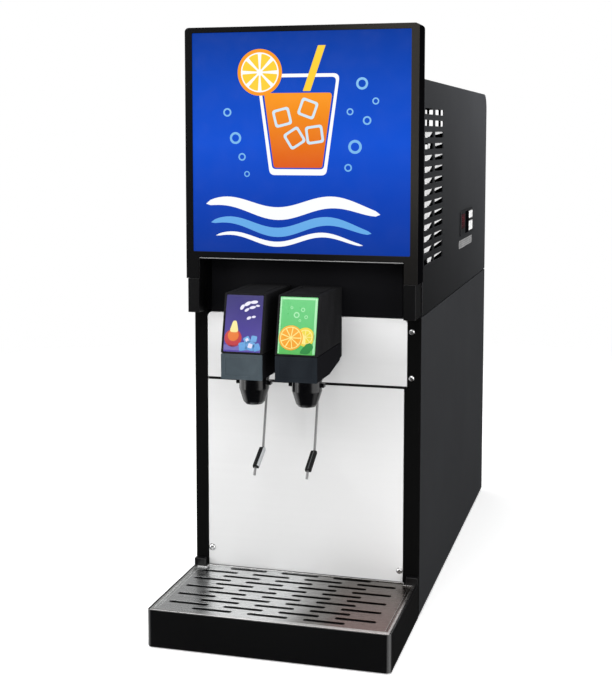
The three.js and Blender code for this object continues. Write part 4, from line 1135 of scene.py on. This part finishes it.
def green_art():
    """A halved orange in front of a lemon, with a leaf, bubbles and a pale border."""
    shapes = [
        ("edge_left", rounded(-21.2, -19.6, 3, 65, 0.5), "print_mint", 0),
        ("edge_right", rounded(18.6, 21.2, 3, 65, 0.5), "print_mint", 0),
        ("edge_top", rounded(-19.4, 18.4, 63, 65.2, 0.5), "print_mint", 0),
        ("leaf", filleted([(2, 3), (14, 3), (20.5, 12), (13, 17)], 4, 4, True), "print_leaf", 1),
    ]
    orange, lemon, hidden = (-7, 20.5), (9.5, 22), 7
    shapes += [
        ("lemon", circle(*lemon, 10.5, 36), "print_yellow", 0),
        ("lemon_core", circle(*lemon, 8.2, 32), "print_cream", 1),
        ("orange_rind", circle(*orange, 13.8, 44), "print_orange", 2),
        ("orange_pith", circle(*orange, 12.2, 40), "print_cream", 3),
    ]
    for i, wedge in enumerate(segments(*orange, 11.3, 9, 34, 17, 1.4, 5)):
        shapes.append((f"orange_segment_{i}", wedge, "print_deep_orange", 4))
    for i, wedge in enumerate(segments(*lemon, 7.2, 8, 38, 20, 1.0, 4)):
        if wedge[2][0] > hidden:
            shapes.append((f"lemon_segment_{i}", wedge, "print_yellow", 2))
    bubbles = ((-2, 46, 3.4), (5, 52, 2.4), (9, 44, 2.0), (-8, 54, 1.6), (2, 40, 1.4))
    for i, (u, v, radius) in enumerate(bubbles):
        hole = circle(u, v, radius * 0.6, 16)
        shapes.append((f"bubble_{i}", circle(u, v, radius, 20), "print_mint", 0, hole))
    return shapes


def valve(side, x):
    valve_body(side, x)
    valve_cover(side, x)
    valve_mount(side)
    valve_nozzle(side, x)
    valve_lever(side, x)
    label_card(side, x)
    dressed(f"diffuser_{side}", "grey_plastic", 0.2)
    dressed(f"lever_pin_{side}", "rod_steel", 0.2)
    valve_solenoids(side, x)


def valve_body(side, x):
    """Moulded block with a socket for the nozzle, a slot for the lever and a shallow panel in front."""
    half, top, rise = VALVE_HALF - 0.2, VALVE_SPLIT - 0.3, 8
    profile = [
        (VALVE_FRONT, VALVE_FOOT), (-60, VALVE_FOOT), (VALVE_BACK, VALVE_FOOT + rise),
        (VALVE_BACK, top), (VALVE_FRONT, top),
    ]
    body = slab(filleted(profile, 0.6, 2, True), x - half, x + half, "X", edge=1.3, rings=3)
    socket = lathe([(0, 300), (15.3, 300), (15.3, LEVER_Z), (0, LEVER_Z)], (x, NOZZLE_Y, 0))
    lever_slot = block((x - 6, LEVER_Y - 16, 300), (x + 6, LEVER_Y + 8, VALVE_SPLIT + 1), 0)
    panel = centred(x, 316, 39, 21, 1.5)
    recess = slab(panel, VALVE_FRONT - 1, VALVE_FRONT + 0.5, "Y")
    body = softened(cut(body, socket, lever_slot, recess), 0.25)
    # painted light: the left block's paler grey is the same plastic as the right block's
    look = {"left": "block_grey", "right": "block_black"}[side]
    piece(f"valve_body_shell_{side}", body, look, stands_for=[f"valve_body_{side}"])


def valve_mount(side):
    low, high = span(f"mount_block_{side}")
    profile = [(low.y, low.z), (high.y, low.z + 2), (high.y, high.z), (low.y, high.z)]
    mount = slab(filleted(profile, 0.8, 2, True), low.x, high.x, "X", edge=0.8)
    piece(f"valve_mount_{side}", mount, "cover_black", stands_for=[f"mount_block_{side}"])


def label_card(side, x):
    outline = rounded(-CARD_HALF, CARD_HALF, CARD_LOW, CARD_HIGH, 0.8)
    sheet = moved(slab(outline, -1.0, 0.0, "Z", edge=0.15), on_front(x))
    look, art = {"left": ("card_violet", violet_art), "right": ("card_green", green_art)}[side]
    piece(f"card_{side}_sheet", sheet, look, f"card_{side}", [f"label_card_{side}"])
    card_art(side, x, art())


def valve_cover(side, x):
    """Hollow cover with a leaning front, a pocket for the label card and two grooves on top."""
    wall, front_wall = 1.8, 2.5
    front_top = VALVE_FRONT + CARD_LEAN
    outer = filleted([
        (VALVE_FRONT, VALVE_SPLIT), (VALVE_BACK, VALVE_SPLIT),
        (VALVE_BACK, VALVE_TOP), (front_top, VALVE_TOP),
    ], 1.2, 4, True)
    inner = [
        (VALVE_FRONT + front_wall, VALVE_SPLIT - 1), (VALVE_BACK + 1, VALVE_SPLIT - 1),
        (VALVE_BACK + 1, VALVE_TOP - wall), (front_top + front_wall, VALVE_TOP - wall),
    ]
    cover = slab(outer, x - VALVE_HALF, x + VALVE_HALF, "X", edge=1.4, rings=3)
    hollow = slab(inner, x - VALVE_HALF + wall, x + VALVE_HALF - wall, "X", edge=0.4)
    pocket = block((-CARD_HALF - 0.3, CARD_LOW - 0.3, -1.3), (CARD_HALF + 0.3, 82, 2), 0)
    cover = cut(cover, hollow, moved(pocket, on_front(x)))
    for u in (x - 17.5, x + 17.5):
        groove = block((u - 0.7, -90, VALVE_TOP - 0.7), (u + 0.7, -18, VALVE_TOP + 1), 0)
        cover = cut(cover, groove)
    piece(f"valve_cover_shell_{side}", softened(cover, 0.25), "cover_black", f"cover_{side}",
          [f"valve_cover_{side}"])


def valve_nozzle(side, x):
    """Tapered spout with a bayonet lug on each side and a raised ring round its collar."""
    tip, collar, neck, top, throat = 265.5, 17.4, 301.0, 317.5, 15
    axis = (x, NOZZLE_Y, 0)
    outside = [(10.0, tip), (12.6, tip + 3), (collar, tip + 18), (collar, neck), (throat, neck)]
    inside = [(13, top), (13, tip + 25.5), (8.5, tip + 8.5), (8.5, tip)]
    outside, inside = filleted(outside, 1.2, 4), filleted(inside, 1.0, 3)
    shell = lathe([*outside, Vector((throat, top)), *inside, outside[0]], axis, sides=64)
    lugs = [block((u - 3, NOZZLE_Y - 4, 288), (u + 3, NOZZLE_Y + 4, 293), 0.8) for u in (x - 18, x + 18)]
    bead = [
        (collar - 0.6, 295.6), (collar + 0.5, 295.9), (collar + 0.5, 297.6),
        (collar - 0.6, 297.9), (collar - 0.6, 295.6),
    ]
    cone = joined(shell, *lugs, lathe(bead, axis, sides=64))
    piece(f"nozzle_cone_{side}", cone, "nozzle_black", f"nozzle_{side}", [f"nozzle_{side}"])


LEVER_BENDS = ((LEVER_Y, 314.3), (-23.5, 264), (-37.5, 205.5), (-68.5, 188), (-72, 180.5))


def valve_lever(side, x):
    """Bent rod with an eye on the pivot, and a flat rubber sleeve with a pale line on its slanting end."""
    rod = tube([(x, y, z) for y, z in LEVER_BENDS], 1.5, 4.0)
    pivot = circle(LEVER_Y, LEVER_Z, 1.8, 20)
    eye = slab(circle(LEVER_Y, LEVER_Z, 5, 32), x - 5, x + 5, "X", [pivot], 0.4)
    piece(f"lever_rod_{side}", joined(rod, eye), "rod_steel", f"lever_{side}", [f"lever_arm_{side}"])
    (y0, z0), (y1, z1) = LEVER_BENDS[2:4]
    half = (math.hypot(y1 - y0, z1 - z0) - 3.4) / 2
    turn = Matrix.Translation((x, (y0 + y1) / 2, (z0 + z1) / 2))
    turn = turn @ Matrix.Rotation(math.atan2(z0 - z1, y0 - y1), 4, "X")
    pad = moved(block((-3.7, -half, -2.3), (3.7, half, 2.3), 1.0, 4), turn)
    piece(f"lever_sleeve_{side}", pad, "rubber", f"lever_{side}", [f"lever_pad_{side}"])
    left, right, look = {"left": (1.3, 3.8, "pad_grey"), "right": (-0.5, 0.5, "pad_dark_grey")}[side]
    line = moved(block((left, 0.8 - half, -2.45), (right, half - 0.8, 2.45), 0.4, 2), turn)
    piece(f"lever_sleeve_mark_{side}", line, look, f"lever_{side}")


def valve_solenoids(side, x):
    base = block((x - 19, -98, VALVE_SPLIT), (x + 19, -16, VALVE_SPLIT + 6), 0.8)
    piece(f"solenoid_base_{side}", base, "grey_plastic", stands_for=[f"solenoids_{side}"])
    coil = [(0, 336), (9, 336), (9, 350), (8.2, 351), (8.2, 368), (9, 369), (9, 378), (0, 378)]
    cup = [(0, 336), (6, 336), (6, 355), (4.5, 357), (4.5, 366), (0, 366)]
    coils = [lathe(filleted(coil, 0.5, 2), (u, -42, 0), sides=36) for u in (x - 10, x + 10)]
    cups = [lathe(filleted(cup, 0.6, 2), (u, -82, 0), sides=28) for u in (x - 10, x + 10)]
    piece(f"solenoid_coils_{side}", joined(*coils), "cover_black")
    piece(f"flow_controls_{side}", joined(*cups), "tank_steel")


# ---- controller
PLATE = 140.0


def controller():
    """Bezel with a dark red display and two keys, on a tub that reaches into the hood."""
    low, high = span("controller_housing")
    display, keys, gap = extent("controller_display", "X"), ("key_up", "key_down"), 0.3
    holes = [framed(display, gap, 0.8)]
    holes += [framed(extent(key, "X"), gap, 1.0) for key in keys]
    outline = framed(extent("controller_housing", "X"), 0, 2.5)
    bezel = slab(outline, PLATE + 0.3, high.x, "X", holes, 0.35)
    tub = block((108, low.y + 4.5, low.z + 3.5), (134, high.y - 4.5, high.z - 3.5), 1.0)
    piece("controller_bezel", joined(bezel, tub), "panel_black", stands_for=["controller_housing"])
    strip = slab(rounded(337, 371, 436, 467, 1.0), high.x - 0.05, high.x + 0.15, "X", edge=0.06)
    piece("controller_strip", strip, "sign_black")
    back, front = (corner.x for corner in span("controller_display"))
    glass = slab(framed(display, 0, 0.6), back, front, "X", edge=0.15)
    piece("controller_glass", glass, "display", stands_for=["controller_display"])
    digits(display, front)
    for key in keys:
        piece(f"{key}_cap", block(*span(key), 0.7, 3), "key_white", key, [key])
    data_label()


def digits(display, glass):
    """Two seven-segment figures on the glass of the display, a 3 and a 4, read from +X."""
    left, _, bottom, top = display
    middle = (bottom + top) / 2
    width, height, bar, pitch, margin, gap = 7.0, 13.0, 1.3, 11.5, 8, 0.2
    bars = []
    for index, lit in enumerate(("abcdg", "bcfg")):
        y0 = left + margin + index * pitch
        y1, low, high = y0 + width, middle - height / 2, middle + height / 2
        places = {
            "a": (y0, y1, high - bar, high), "d": (y0, y1, low, low + bar),
            "g": (y0, y1, middle - bar / 2, middle + bar / 2), "f": (y0, y0 + bar, middle, high),
            "b": (y1 - bar, y1, middle, high), "c": (y1 - bar, y1, low, middle),
        }
        for letter in lit:
            bars.append(slab(framed(places[letter], -gap, 0.4, 3), glass - 0.02, glass + 0.06, "X"))
    piece("controller_digits", joined(*bars), "digits")


def data_label():
    """Grey label under the controller, with rows of plain strokes where the small print would be."""
    label = slab(rounded(291, 416, 417, 428, 0.5), PLATE, PLATE + 0.25, "X", edge=0.05)
    piece("data_label", label, "label_grey")
    first, last, half = 294, 413, 0.55
    marks = []
    for z in (419.4, 422.5, 425.6):
        y = first
        while y < last - 2:
            length = CHANCE.uniform(4, 15)
            stroke = rounded(y, min(y + length, last), z - half, z + half, 0.2)
            marks.append(slab(stroke, PLATE + 0.2, PLATE + 0.3, "X"))
            y += length + CHANCE.uniform(2, 5)
    piece("data_label_rules", joined(*marks), "label_mark")


# ---- inside and rear
INSIDE_AND_REAR = (
    # node, look, rounding in millimetres, rings of the rounding
    ("insulation", "foam", 1.5),
    ("water_tank", "tank_steel", 0.5),
    ("carbonator_tank", "tank_steel", 0),
    ("evaporator_coil", "copper", 0),
    ("agitator_motor", "grey_enamel", 0.5),
    ("agitator", "tank_steel", 0.3),
    ("compressor", "housing_black", 1.5, 3),
    ("condenser", "fins", 0.2),
    ("fan_motor", "grey_enamel", 0.3),
    ("fan_rotor", "grey_plastic", 0.3),
    ("water_pump", "grey_enamel", 0.8),
    ("control_box", "zinc", 0.4),
    ("inlet_fittings", "tank_steel", 0.2),
    ("mains_inlet", "cover_black", 0.3),
    ("mains_switch", "cover_black", 0.6, 3),
)


chassis()
hood()
vent_painted_shade_and_light()
rear_grille()
header()
sign_art()
splash()
drip_tray()
drip_grille()
for valve_side in ("left", "right"):
    valve_low, valve_high = span(f"valve_body_{valve_side}")
    valve(valve_side, (valve_low.x + valve_high.x) / 2)
controller()
for kept_node in INSIDE_AND_REAR:
    dressed(*kept_node)


# ---------------------------------------------------------------- stage, light and camera
def shaded_floor(reach, glow):
    """Pale floor round the machine that fades out into the white backdrop at reach metres."""
    look = Look("floor_pale", None, 0.8)
    look.colour(look.ramp(look.noise(0.4, 2.0), (0.3, grey(0.93)), (0.7, grey(0.95))))
    distance = look.node("ShaderNodeVectorMath", operation="LENGTH")
    look.feed(distance, {0: look.place})
    fade = look.ranged(distance.outputs["Value"], reach * 0.6, reach, 1.0, 0.0, True)
    look.paint({"Emission Color": grey(1.0), "Emission Strength": glow, "Alpha": fade})
    bm = bmesh.new()
    bmesh.ops.create_circle(bm, cap_ends=True, segments=64, radius=reach * 1.1)
    mesh = bpy.data.meshes.new("floor")
    bm.to_mesh(mesh)
    bm.free()
    floor = new_object(mesh, "floor")
    floor.data.materials.append(look.material)
    floor.visible_glossy = False


def surroundings(low, high, flank, left):
    """White backdrop for the camera. Everything else sees a dim room: low underfoot, high overhead,
    bright walls far out on the left and the right, and a paler left half behind the machine."""
    world = bpy.data.worlds.new("studio")
    bpy.context.scene.world = world
    world.use_nodes = True
    sky = Graph(world.node_tree, "Generated")
    height = sky.ranged(sky.axis("Z"), -0.25, 0.5, low, high)
    wall = sky.ranged(sky.maths("ABSOLUTE", sky.axis("X")), 0.66, 0.9, 0.0, flank, True)
    leftward = sky.ranged(sky.axis("X"), -0.16, -0.34, 0.0, left)
    behind = sky.ranged(sky.axis("Y"), 0.0, 0.4)
    total = sky.maths("ADD", height, wall)
    room, backdrop = sky.node("ShaderNodeBackground"), sky.tree.nodes["Background"]
    sky.feed(room, {"Strength": sky.maths("ADD", total, sky.times(leftward, behind))})
    sky.feed(backdrop, {"Color": grey(1.0)})
    seen = sky.node("ShaderNodeLightPath").outputs["Is Camera Ray"]
    choice = sky.node("ShaderNodeMixShader")
    sky.feed(choice, {0: seen, 1: room.outputs[0], 2: backdrop.outputs[0]})
    sky.feed(sky.tree.nodes["World Output"], {"Surface": choice.outputs[0]})


def softbox(name, place, aim, size, power):
    light = bpy.data.lights.new(name, "AREA")
    light.shape = "RECTANGLE"
    light.size, light.size_y = size
    light.energy = power
    lamp = new_object(light, name)
    lamp.location = place
    lamp.rotation_mode = "QUATERNION"
    lamp.rotation_quaternion = (Vector(aim) - Vector(place)).to_track_quat("-Z", "Y")
    lamp.visible_camera = False


def studio():
    shaded_floor(1.9, 0.33)
    surroundings(0.02, 0.12, 2.0, 0.4)
    softbox("softbox_top", (0.0, -0.1, 2.6), (0, 0, 0), (2.4, 2.4), 60)
    softbox("softbox_high_front", (-0.4, -2.3, 2.1), (0, 0, 0.3), (2.6, 1.4), 44)
    softbox("softbox_left", (-2.3, -1.5, 0.9), (0, -0.1, 0.3), (1.6, 1.6), 34)
    softbox("softbox_right", (2.1, -2.0, 0.8), (0, -0.1, 0.3), (1.4, 1.4), 30)
    softbox("strip_low_left", (-0.89, -0.81, 0.1), (0, -0.28, 0.28), (0.12, 0.16), 0.16)


def camera():
    data = bpy.data.cameras.new("camera")
    data.sensor_width = 36.0
    data.lens = 65.9
    data.shift_y = -0.1312
    data.clip_end = 50.0
    cam = new_object(data, "camera")
    cam.location = ORIGIN + Vector((393.6, -1432.1, 570.8)) * MM
    yaw, pitch, roll = (math.radians(a) for a in (15.34, -5.26, 0.03))
    turn = Matrix.Rotation(yaw, 4, "Z") @ Matrix.Rotation(math.pi / 2 + pitch, 4, "X")
    cam.rotation_mode = "QUATERNION"
    cam.rotation_quaternion = (turn @ Matrix.Rotation(roll, 4, "Z")).to_quaternion()
    bpy.context.scene.camera = cam


studio()
camera()
bpy.context.scene.view_settings.view_transform = "Standard"
